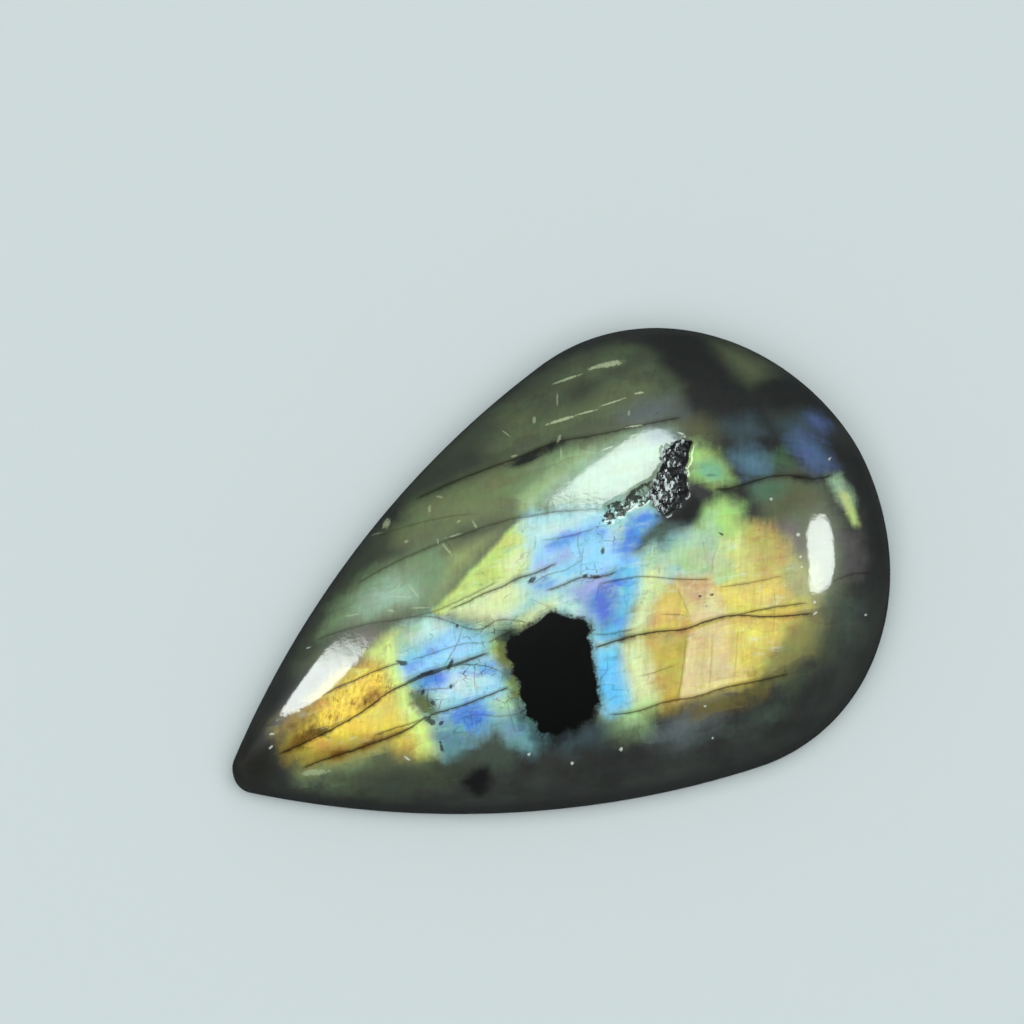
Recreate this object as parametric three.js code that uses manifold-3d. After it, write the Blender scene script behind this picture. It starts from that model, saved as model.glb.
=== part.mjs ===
// Labradorite pear cabochon: one polished stone with a domed face, a thin girdle and a flat back.
// Millimetres, +Z up. The point of the pear looks to -X, its round end to +X, and the back lies on z = 0.
// The origin is under the middle of the stone's outline box.
import * as THREE from 'three';
import { mergeVertices } from 'three/addons/utils/BufferGeometryUtils.js';
import Module from 'manifold-3d';

// Driving dimensions of the cut stone
const length = 38;
const width = 25.2;
const height = 8;
const noseRadius = 11.2; // the round end, measured along the length
const tipRadius = 1; // the rounded point
const flankRadius = 55.6; // the long curves that join the two
const girdleTop = 1.1; // where the dome starts
const backBevel = 0.5; // the edge ground round the back
const domeTaper = 0.65; // how fast the crown falls towards the point
const domeFullness = 2.1; // 2 is an ellipse, more is a fuller shoulder

// Facets of the solid
const noseSteps = 24;
const flankSteps = 16;
const tipSteps = 5;
const domeRings = 18;

// The unpolished hollow beside the crown, and the shallow rough groove that runs out of it
const hollow = {
  centre: [8.6, 2.3],
  depth: 0.34,
  roughness: 0.13,
  outline: [
    [10.15, 3.95], [9.6, 3.9], [9.0, 3.95], [8.65, 3.6], [8.35, 3.1], [7.9, 2.65], [7.4, 2.35],
    [7.05, 2.0], [6.95, 1.4], [7.05, 0.8], [7.5, 0.5], [8.1, 0.65], [8.6, 0.95], [9.0, 1.1],
    [9.1, 1.6], [9.35, 2.1], [9.6, 2.55], [10.05, 3.1], [10.5, 3.45],
  ],
};
const groove = {
  centre: [5.5, 2.1],
  depth: 0.16,
  roughness: 0.08,
  outline: [
    [7.3, 2.55], [6.3, 2.62], [5.4, 2.5], [4.9, 2.45], [4.4, 2.25], [4.15, 1.9], [4.35, 1.55],
    [5.0, 1.45], [5.4, 1.75], [6.0, 1.95], [7.2, 2.0],
  ],
};
const hollowRings = [1, 0.86, 0.66, 0.42, 0.2];
const pointsPerSide = 2;
const cutterHeadroom = 1; // how far a cutter stands above the polish

// The outline is laid out about the round end's centre, then widened to the stone's width
const noseCentreX = length / 2 - noseRadius;
const tipDistance = length - noseRadius - tipRadius;
const widening = width / 2 / noseRadius;
const noseToFlank = flankRadius - noseRadius;
const tipToFlank = flankRadius - tipRadius;
const flankX = (tipToFlank ** 2 - noseToFlank ** 2 - tipDistance ** 2) / (2 * tipDistance);
const flankY = -Math.sqrt(noseToFlank ** 2 - flankX ** 2);
const noseEndAngle = Math.atan2(-flankY, -flankX);
const tipStartAngle = Math.atan2(-flankY, -tipDistance - flankX);
const noseEndX = flankX + flankRadius * Math.cos(noseEndAngle);
const tipStartX = flankX + flankRadius * Math.cos(tipStartAngle);

// Half the stone's width at a place along its length
function halfWidth(x) {
  const along = x - noseCentreX;
  if (along >= noseEndX) {
    return widening * Math.sqrt(Math.max(noseRadius ** 2 - along ** 2, 0));
  }
  if (along >= tipStartX) {
    return widening * (flankY + Math.sqrt(flankRadius ** 2 - (along - flankX) ** 2));
  }
  return widening * Math.sqrt(Math.max(tipRadius ** 2 - (along + tipDistance) ** 2, 0));
}

// Height of the polished dome over a point of the plan
function domeHeight(x, y) {
  const half = halfWidth(x);
  if (half <= 0) {
    return girdleTop;
  }
  const across = Math.min(Math.abs(y) / half, 1);
  const crown = (height - girdleTop) * (half / (width / 2)) ** domeTaper;
  return girdleTop + crown * (1 - across ** domeFullness) ** (1 / domeFullness);
}

// One point of an arc, widened as the outline is
function arcPoint(centreX, centreY, radius, angle) {
  const x = noseCentreX + centreX + radius * Math.cos(angle);
  const y = widening * (centreY + radius * Math.sin(angle));
  return [x, y];
}

// The upper half of the outline from the round end to the point, then its mirror image
function pearOutline() {
  const upper = [];
  for (let i = 0; i < noseSteps; i += 1) {
    upper.push(arcPoint(0, 0, noseRadius, (noseEndAngle * i) / noseSteps));
  }
  for (let i = 0; i < flankSteps; i += 1) {
    const angle = noseEndAngle + ((tipStartAngle - noseEndAngle) * i) / flankSteps;
    upper.push(arcPoint(flankX, flankY, flankRadius, angle));
  }
  for (let i = 0; i < tipSteps; i += 1) {
    const angle = tipStartAngle + ((Math.PI - tipStartAngle) * i) / tipSteps;
    upper.push(arcPoint(-tipDistance, 0, tipRadius, angle));
  }
  const point = [-length / 2, 0];
  const lower = upper.slice(1).reverse().map(([x, y]) => [x, -y]);
  return [...upper, point, ...lower];
}

// A closed body from rings of points, listed from the bottom ring to the top one, and closed
// by a fan on a middle point at each end
function ringBody(bottomMiddle, rings, topMiddle) {
  const count = rings[0].length;
  const positions = [...bottomMiddle, ...rings.flat(2), ...topMiddle];
  const indices = [];
  const vertex = (ring, i) => 1 + ring * count + (i % count);
  const top = 1 + rings.length * count;
  for (let i = 0; i < count; i += 1) {
    indices.push(0, vertex(0, i + 1), vertex(0, i));
    indices.push(top, vertex(rings.length - 1, i), vertex(rings.length - 1, i + 1));
    for (let ring = 0; ring < rings.length - 1; ring += 1) {
      indices.push(vertex(ring, i), vertex(ring, i + 1), vertex(ring + 1, i));
      indices.push(vertex(ring, i + 1), vertex(ring + 1, i + 1), vertex(ring + 1, i));
    }
  }
  const geometry = new THREE.BufferGeometry();
  geometry.setAttribute('position', new THREE.Float32BufferAttribute(positions, 3));
  geometry.setIndex(indices);
  return geometry;
}

// The cut stone before its hollow: back, bevel, girdle and dome
function stoneBlank() {
  const outline = pearOutline();
  const inset = outline.map(([x, y]) => {
    const reach = Math.hypot(x - noseCentreX, y);
    const scale = 1 - backBevel / reach;
    return [noseCentreX + (x - noseCentreX) * scale, y * scale, 0];
  });
  const girdleFoot = outline.map(([x, y]) => [x, y, backBevel]);
  const girdleHead = outline.map(([x, y]) => [x, y, girdleTop]);
  const dome = [];
  for (let ring = 1; ring < domeRings; ring += 1) {
    const scale = Math.cos((Math.PI / 2) * (ring / domeRings));
    dome.push(outline.map(([x, y]) => {
      const px = noseCentreX + (x - noseCentreX) * scale;
      const py = y * scale;
      return [px, py, domeHeight(px, py)];
    }));
  }
  const backMiddle = [noseCentreX, 0, 0];
  const crown = [noseCentreX, 0, domeHeight(noseCentreX, 0)];
  return ringBody(backMiddle, [inset, girdleFoot, girdleHead, ...dome], crown);
}

// A closed outline with more points on each side than its corners alone
function subdivided(outline) {
  const points = [];
  outline.forEach(([x, y], i) => {
    const [nextX, nextY] = outline[(i + 1) % outline.length];
    for (let step = 0; step < pointsPerSide; step += 1) {
      const part = step / pointsPerSide;
      points.push([x + (nextX - x) * part, y + (nextY - y) * part]);
    }
  });
  return points;
}

// Broken ground that runs from -1 to 1, made of three crossed waves
function brokenGround(x, y) {
  const ridges = Math.sin(7.1 * x + 3.3 * y) + Math.sin(-4.2 * x + 8.6 * y + 1.7);
  return (ridges + Math.sin(11.3 * x - 6.4 * y + 0.6)) / 3;
}

// The body that a hollow takes out of the dome: a rough floor below the polish, open above
function hollowCutter({ centre, outline, depth, roughness }) {
  const edge = subdivided(outline);
  const ringAt = (scale, level) => edge.map(([x, y]) => {
    const px = centre[0] + (x - centre[0]) * scale;
    const py = centre[1] + (y - centre[1]) * scale;
    return [px, py, level(px, py, scale)];
  });
  const floor = (x, y, scale) => {
    const sunk = depth * (1 - 0.45 * scale ** 4);
    return domeHeight(x, y) - sunk + roughness * brokenGround(x, y);
  };
  const above = (x, y) => domeHeight(x, y) + cutterHeadroom;
  const floorRings = [...hollowRings].reverse().map((scale) => ringAt(scale, floor));
  const aboveRings = hollowRings.map((scale) => ringAt(scale, above));
  const bottom = [...centre, floor(...centre, 0)];
  const top = [...centre, above(...centre)];
  return ringBody(bottom, [...floorRings, ...aboveRings], top);
}

const wasm = await Module();
wasm.setup();

// A three.js geometry as a solid that can be cut
function toSolid(geometry) {
  const merged = mergeVertices(geometry, 1e-5);
  const mesh = new wasm.Mesh({
    numProp: 3,
    vertProperties: new Float32Array(merged.attributes.position.array),
    triVerts: new Uint32Array(merged.index.array),
  });
  return new wasm.Manifold(mesh);
}

// A cut solid back as a three.js geometry
function toGeometry(solid) {
  const mesh = solid.getMesh();
  const geometry = new THREE.BufferGeometry();
  geometry.setAttribute('position', new THREE.BufferAttribute(mesh.vertProperties, 3));
  geometry.setIndex(new THREE.BufferAttribute(mesh.triVerts, 1));
  geometry.computeVertexNormals();
  return geometry;
}

// Polished labradorite: a dark grey-green body under a glassy polish
function polishedLabradorite() {
  return new THREE.MeshStandardMaterial({ color: 0x4a5f56, roughness: 0.12, metalness: 0 });
}

// The finished stone, one solid
function cabochon() {
  const blank = toSolid(stoneBlank());
  const cut = blank.subtract(toSolid(hollowCutter(hollow))).subtract(toSolid(hollowCutter(groove)));
  const mesh = new THREE.Mesh(toGeometry(cut), polishedLabradorite());
  mesh.name = 'cabochon';
  return mesh;
}

const stone = new THREE.Group();
stone.add(cabochon());

export default stone;
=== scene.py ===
import bmesh
import bpy
import math
import numpy as np
from mathutils import Matrix, Vector, noise


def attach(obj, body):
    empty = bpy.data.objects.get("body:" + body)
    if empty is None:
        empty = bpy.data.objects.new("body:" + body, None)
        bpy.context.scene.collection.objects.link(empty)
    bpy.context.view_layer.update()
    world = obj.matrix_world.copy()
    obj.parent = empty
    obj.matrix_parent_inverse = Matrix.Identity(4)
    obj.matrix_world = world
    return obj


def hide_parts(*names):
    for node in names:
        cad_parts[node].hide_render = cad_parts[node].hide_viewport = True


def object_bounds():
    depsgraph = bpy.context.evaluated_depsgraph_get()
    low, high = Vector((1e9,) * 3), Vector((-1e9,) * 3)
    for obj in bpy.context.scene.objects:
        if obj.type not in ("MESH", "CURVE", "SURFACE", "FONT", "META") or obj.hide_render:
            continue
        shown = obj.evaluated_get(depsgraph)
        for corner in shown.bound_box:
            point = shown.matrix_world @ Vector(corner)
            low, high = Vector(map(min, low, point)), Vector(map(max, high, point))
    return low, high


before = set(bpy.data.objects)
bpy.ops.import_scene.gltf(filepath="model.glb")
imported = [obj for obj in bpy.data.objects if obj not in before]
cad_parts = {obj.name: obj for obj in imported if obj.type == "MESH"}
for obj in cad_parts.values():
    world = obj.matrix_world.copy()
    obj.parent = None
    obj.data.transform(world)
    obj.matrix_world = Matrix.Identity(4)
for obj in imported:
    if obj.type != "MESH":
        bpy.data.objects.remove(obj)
cadLow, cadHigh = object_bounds()
mm = 0.001
print("frame loaded")


# Small helpers for wiring node trees

def feed(tree, socket, value):
    if isinstance(value, bpy.types.NodeSocket):
        tree.links.new(value, socket)
    else:
        socket.default_value = value


def put(tree, kind, inputs=None, **settings):
    node = tree.nodes.new(kind)
    for key, value in settings.items():
        setattr(node, key, value)
    for key, value in (inputs or {}).items():
        feed(tree, node.inputs[key], value)
    return node


def reckon(tree, operation, *values, clamp=False):
    node = put(tree, "ShaderNodeMath", operation=operation, use_clamp=clamp)
    for socket, value in zip(node.inputs, values):
        feed(tree, socket, value)
    return node.outputs[0]


def ramp(tree, value, fromMin, fromMax, toMin=0.0, toMax=1.0, smooth=True):
    # a smooth step stays inside its ends by itself, and a straight one is clamped
    kind = "SMOOTHSTEP" if smooth else "LINEAR"
    node = put(tree, "ShaderNodeMapRange", {
        "Value": value, "From Min": fromMin, "From Max": fromMax,
        "To Min": toMin, "To Max": toMax}, interpolation_type=kind, clamp=not smooth)
    return node.outputs["Result"]


def blendColour(tree, below, above, amount, mode="MIX"):
    node = put(tree, "ShaderNodeMix", data_type="RGBA", blend_type=mode)
    for index, value in ((0, amount), (6, below), (7, above)):
        feed(tree, node.inputs[index], value)
    return node.outputs[2]


def newGroup(name, kind, inputs, outputs):
    tree = bpy.data.node_groups.new(name, kind)
    for label, socketKind in inputs:
        tree.interface.new_socket(label, in_out="INPUT", socket_type=socketKind)
    for label, socketKind in outputs:
        tree.interface.new_socket(label, in_out="OUTPUT", socket_type=socketKind)
    start = tree.nodes.new("NodeGroupInput").outputs
    end = tree.nodes.new("NodeGroupOutput").inputs
    return tree, start, end


def useGroup(tree, group, **values):
    node = tree.nodes.new("ShaderNodeGroup")
    node.node_tree = group
    for key, value in values.items():
        feed(tree, node.inputs[key.replace("_", " ")], value)
    return node


def paint(red, green, blue):
    # a colour as it shows on screen, 0 to 255, in the linear values that a shader takes
    shown = [channel / 255 for channel in (red, green, blue)]
    linear = [c / 12.92 if c <= 0.04045 else ((c + 0.055) / 1.055) ** 2.4 for c in shown]
    return (*linear, 1.0)


# The cut stone: its outline is a round end, two long flanks and a small round point

stone = {
    "length": cadHigh[0] - cadLow[0],
    "width": cadHigh[1] - cadLow[1],
    "height": cadHigh[2] - cadLow[2],
    "noseRadius": 11.2 * mm,
    "tipRadius": 1.0 * mm,
    "flankRadius": 55.6 * mm,
    "girdleTop": 1.1 * mm,
    "backBevel": 0.5 * mm,
    "domeTaper": 0.65,
    "domeFullness": 2.1,
    "stations": 335,     # rows of points from the round end to the tip
    "columns": 263,      # points over the dome in each row
    "noseShare": 0.42,   # how many of the rows each arc gets
    "flankShare": 0.555,
    "weld": 1e-7,        # points closer than this become one
    "sharpAngle": 32,    # degrees past which an edge is sharp
}


def buildCabochonTree():
    sizes = [
        ("Length", "NodeSocketFloat"), ("Width", "NodeSocketFloat"), ("Height", "NodeSocketFloat"),
        ("Nose Radius", "NodeSocketFloat"), ("Tip Radius", "NodeSocketFloat"),
        ("Flank Radius", "NodeSocketFloat"), ("Girdle Top", "NodeSocketFloat"),
        ("Back Bevel", "NodeSocketFloat"), ("Dome Taper", "NodeSocketFloat"),
        ("Dome Fullness", "NodeSocketFloat"), ("Stations", "NodeSocketInt"),
        ("Columns", "NodeSocketInt"), ("Nose Share", "NodeSocketFloat"),
        ("Flank Share", "NodeSocketFloat"), ("Material", "NodeSocketMaterial"),
    ]
    tree, given, result = newGroup(
        "pearCabochon", "GeometryNodeTree", sizes, [("Geometry", "NodeSocketGeometry")])

    def calc(operation, *values):
        return reckon(tree, operation, *values)

    def pick(test, ifTrue, ifFalse):
        node = put(tree, "GeometryNodeSwitch", input_type="FLOAT")
        feed(tree, node.inputs[0], test)
        feed(tree, node.inputs[1], ifFalse)
        feed(tree, node.inputs[2], ifTrue)
        return node.outputs[0]

    # the arcs' centres and the angles where they meet
    nose, tip, flank = given["Nose Radius"], given["Tip Radius"], given["Flank Radius"]
    noseX = calc("SUBTRACT", calc("MULTIPLY", given["Length"], 0.5), nose)
    tipDistance = calc("SUBTRACT", calc("SUBTRACT", given["Length"], nose), tip)
    halfWidth = calc("MULTIPLY", given["Width"], 0.5)
    widening = calc("DIVIDE", halfWidth, nose)
    noseReach = calc("SUBTRACT", flank, nose)
    tipReach = calc("SUBTRACT", flank, tip)
    squares = calc("MULTIPLY", tipReach, tipReach)
    squares = calc("SUBTRACT", squares, calc("MULTIPLY", noseReach, noseReach))
    squares = calc("SUBTRACT", squares, calc("MULTIPLY", tipDistance, tipDistance))
    flankX = calc("DIVIDE", squares, calc("MULTIPLY", tipDistance, 2.0))
    below = calc("SUBTRACT", calc("MULTIPLY", noseReach, noseReach), calc("MULTIPLY", flankX, flankX))
    flankDrop = calc("SQRT", below)
    noseEnd = calc("ARCTAN2", flankDrop, calc("MULTIPLY", flankX, -1.0))
    tipStartRun = calc("MULTIPLY", calc("ADD", tipDistance, flankX), -1.0)
    tipStart = calc("ARCTAN2", flankDrop, tipStartRun)

    grid = put(tree, "GeometryNodeMeshGrid", {
        "Size X": 1.0, "Size Y": 1.0,
        "Vertices X": given["Stations"], "Vertices Y": given["Columns"]})
    at = put(tree, "ShaderNodeSeparateXYZ", {0: put(tree, "GeometryNodeInputPosition").outputs[0]})
    along = calc("ADD", at.outputs[0], 0.5)
    across = calc("MULTIPLY", at.outputs[1], -math.pi)

    # where each row stands on the outline
    flankEndShare = calc("ADD", given["Nose Share"], given["Flank Share"])
    noseAngle = ramp(tree, along, 0.0, given["Nose Share"], 0.0, noseEnd, smooth=False)
    flankAngle = ramp(tree, along, given["Nose Share"], flankEndShare, noseEnd, tipStart, smooth=False)
    tipAngle = ramp(tree, along, flankEndShare, 1.0, tipStart, math.pi, smooth=False)

    def arc(radius, angle, centreX, centreY):
        x = calc("ADD", calc("MULTIPLY", radius, calc("COSINE", angle)), centreX)
        y = calc("ADD", calc("MULTIPLY", radius, calc("SINE", angle)), centreY)
        return x, y

    onNose = arc(nose, noseAngle, 0.0, 0.0)
    onFlank = arc(flank, flankAngle, flankX, calc("MULTIPLY", flankDrop, -1.0))
    onTip = arc(tip, tipAngle, calc("MULTIPLY", tipDistance, -1.0), 0.0)
    beforeFlank = calc("LESS_THAN", along, given["Nose Share"])
    beforeTip = calc("LESS_THAN", along, flankEndShare)
    rowX = pick(beforeFlank, onNose[0], pick(beforeTip, onFlank[0], onTip[0]))
    rowReach = pick(beforeFlank, onNose[1], pick(beforeTip, onFlank[1], onTip[1]))
    rowHalf = calc("MAXIMUM", calc("MULTIPLY", rowReach, widening), 0.0)

    # the dome over each row is a fuller ellipse whose crown falls with the row's width
    side = calc("SINE", across)
    crown = calc("SUBTRACT", given["Height"], given["Girdle Top"])
    fall = calc("POWER", calc("DIVIDE", rowHalf, halfWidth), given["Dome Taper"])
    inner = calc("SUBTRACT", 1.0, calc("POWER", calc("ABSOLUTE", side), given["Dome Fullness"]))
    arch = calc("POWER", calc("MAXIMUM", inner, 0.0), calc("DIVIDE", 1.0, given["Dome Fullness"]))
    rise = calc("MULTIPLY", calc("MULTIPLY", crown, fall), arch)
    place = put(tree, "ShaderNodeCombineXYZ", {
        0: calc("ADD", rowX, noseX),
        1: calc("MULTIPLY", rowHalf, side),
        2: calc("ADD", rise, given["Girdle Top"])})
    dome = put(tree, "GeometryNodeSetPosition", {
        "Geometry": grid.outputs["Mesh"], "Position": place.outputs[0]})
    dome = put(tree, "GeometryNodeMergeByDistance", {
        "Geometry": dome.outputs[0], "Distance": stone["weld"]})

    # girdle wall, ground bevel and flat back grow from the dome's rim
    edgeFaces = put(tree, "GeometryNodeInputMeshEdgeNeighbors").outputs["Face Count"]
    rim = put(tree, "FunctionNodeCompare", data_type="INT", operation="EQUAL")
    feed(tree, rim.inputs["A"], edgeFaces)
    rim.inputs["B"].default_value = 1
    wallDrop = calc("SUBTRACT", given["Back Bevel"], given["Girdle Top"])
    wall = put(tree, "GeometryNodeExtrudeMesh", {
        "Mesh": dome.outputs[0], "Selection": rim.outputs[0],
        "Offset": put(tree, "ShaderNodeCombineXYZ", {2: wallDrop}).outputs[0]}, mode="EDGES")
    middle = put(tree, "ShaderNodeCombineXYZ", {0: noseX}).outputs[0]
    here = put(tree, "GeometryNodeInputPosition").outputs[0]
    inward = put(tree, "ShaderNodeVectorMath", {0: middle, 1: here}, operation="SUBTRACT").outputs[0]
    flat = put(tree, "ShaderNodeVectorMath", {0: inward, 1: (1.0, 1.0, 0.0)}, operation="MULTIPLY")
    unit = put(tree, "ShaderNodeVectorMath", {0: flat.outputs[0]}, operation="NORMALIZE").outputs[0]
    slope = put(tree, "ShaderNodeVectorMath", {0: unit, 1: (0.0, 0.0, -1.0)}, operation="ADD").outputs[0]
    slope = put(tree, "ShaderNodeVectorMath", {0: slope}, operation="SCALE")
    feed(tree, slope.inputs["Scale"], given["Back Bevel"])
    bevel = put(tree, "GeometryNodeExtrudeMesh", {
        "Mesh": wall.outputs["Mesh"], "Selection": wall.outputs["Top"],
        "Offset": slope.outputs[0]}, mode="EDGES")
    back = put(tree, "GeometryNodeExtrudeMesh", {
        "Mesh": bevel.outputs["Mesh"], "Selection": bevel.outputs["Top"],
        "Offset": flat.outputs[0]}, mode="EDGES")
    closed = put(tree, "GeometryNodeMergeByDistance", {
        "Geometry": back.outputs["Mesh"], "Distance": stone["weld"]})
    real = put(tree, "GeometryNodeRealizeInstances", {"Geometry": closed.outputs[0]})
    done = put(tree, "GeometryNodeSetMaterial", {
        "Geometry": real.outputs[0], "Material": given["Material"]})
    feed(tree, result["Geometry"], done.outputs[0])
    return tree


def growCabochon(material):
    tree = buildCabochonTree()
    seed = bpy.data.objects.new("cabochonSeed", bpy.data.meshes.new("cabochonSeed"))
    bpy.context.scene.collection.objects.link(seed)
    modifier = seed.modifiers.new("pearCabochon", "NODES")
    modifier.node_group = tree
    values = {
        "Length": "length", "Width": "width", "Height": "height", "Nose Radius": "noseRadius",
        "Tip Radius": "tipRadius", "Flank Radius": "flankRadius", "Girdle Top": "girdleTop",
        "Back Bevel": "backBevel", "Dome Taper": "domeTaper", "Dome Fullness": "domeFullness",
        "Stations": "stations", "Columns": "columns", "Nose Share": "noseShare",
        "Flank Share": "flankShare",
    }
    for item in tree.interface.items_tree:
        if item.in_out == "INPUT":
            value = material if item.name == "Material" else stone[values[item.name]]
            modifier[item.identifier] = value
    bpy.context.view_layer.update()
    evaluated = seed.evaluated_get(bpy.context.evaluated_depsgraph_get())
    mesh = bpy.data.meshes.new_from_object(evaluated)
    bpy.data.objects.remove(seed)
    mesh.name = "polishedCabochon"
    mesh.materials.clear()
    mesh.materials.append(material)
    piece = bpy.data.objects.new("polishedCabochon", mesh)
    bpy.context.scene.collection.objects.link(piece)
    return piece


def tidyNormals(mesh):
    work = bmesh.new()
    work.from_mesh(mesh)
    bmesh.ops.recalc_face_normals(work, faces=work.faces)
    work.to_mesh(mesh)
    work.free()


# Outlines on the plan of the stone, in mm from its middle, +X towards the round end

def signedDistance(x, y, outline):
    # mm inside the outline, negative outside
    corners = np.array(outline, float)
    inside = np.zeros(x.shape, bool)
    nearest = np.full(x.shape, np.inf)
    for (ax, ay), (bx, by) in zip(corners, np.roll(corners, -1, axis=0)):
        runX, runY = bx - ax, by - ay
        part = ((x - ax) * runX + (y - ay) * runY) / (runX ** 2 + runY ** 2)
        part = part.clip(0, 1)
        nearest = np.minimum(nearest, np.hypot(x - ax - part * runX, y - ay - part * runY))
        if ay != by:
            inside ^= ((ay > y) != (by > y)) & (x < runX * (y - ay) / runY + ax)
    return np.where(inside, nearest, -nearest)


hollows = {
    "hollow": {   # the unpolished hollow beside the crown
        "depth": 0.34, "roughness": 0.16, "wall": 0.2, "ragged": 0.16,
        "outline": [
            (10.15, 3.95), (9.6, 3.9), (9.0, 3.95), (8.65, 3.6), (8.35, 3.1), (7.9, 2.65), (7.4, 2.35),
            (7.05, 2.0), (6.95, 1.4), (7.05, 0.8), (7.5, 0.5), (8.1, 0.65), (8.6, 0.95), (9.0, 1.1),
            (9.1, 1.6), (9.35, 2.1), (9.6, 2.55), (10.05, 3.1), (10.5, 3.45)],
    },
    "groove": {   # the shallow broken groove that runs out of it
        "depth": 0.045, "roughness": 0.06, "wall": 0.35, "ragged": 0.35,
        "outline": [
            (7.5, 2.6), (6.3, 2.62), (5.4, 2.5), (4.9, 2.45), (4.4, 2.25), (4.15, 1.9), (4.35, 1.55),
            (5.0, 1.45), (5.4, 1.6), (6.0, 1.7), (7.3, 1.6)],
    },
}


breakage = {   # each noise has a scale per mm and a place where it is cut
    "coarse": (2.2, 3.7),
    "fine": (5.5, 9.1),
    "edge": (2.4, 6.2),
    "fineShare": 1.2,
    "edgeReach": 0.5,      # mm outside its outline that a torn edge may reach
    "away": 5.0,           # mm that points below the dome are counted outside
}


def breakNoise(x, y, kind):
    scale, cut = breakage[kind]
    return noise.noise(Vector((x * scale, y * scale, cut)))


def brokenGround(x, y):
    # coarse and fine broken ground, about -1 to 1
    return breakNoise(x, y, "coarse") + breakage["fineShare"] * breakNoise(x, y, "fine")


def sinkHollows(mesh, x, y, z):
    reaches = {}
    up = z > stone["girdleTop"] / mm
    broken = np.zeros(x.shape, bool)
    for name, hollow in hollows.items():
        inside = signedDistance(x, y, hollow["outline"])
        inside[~up] = -breakage["away"]
        for index in np.flatnonzero(inside > -breakage["edgeReach"]):
            inside[index] += hollow["ragged"] * breakNoise(x[index], y[index], "edge")
            if inside[index] > 0:
                sunk = min(inside[index] / hollow["wall"], 1.0)
                uneven = hollow["roughness"] * brokenGround(x[index], y[index])
                z[index] -= sunk * max(hollow["depth"] + uneven, 0.0)
        broken |= inside > 0
        reaches[name] = inside
    for face in mesh.polygons:
        if any(broken[v] for v in face.vertices):
            face.use_smooth = False
    return reaches


# The stone's tones, painted one over the other: name, colour, how softly the edge fades and
# how far it wanders in mm, and the outlines of the patches in mm

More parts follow.
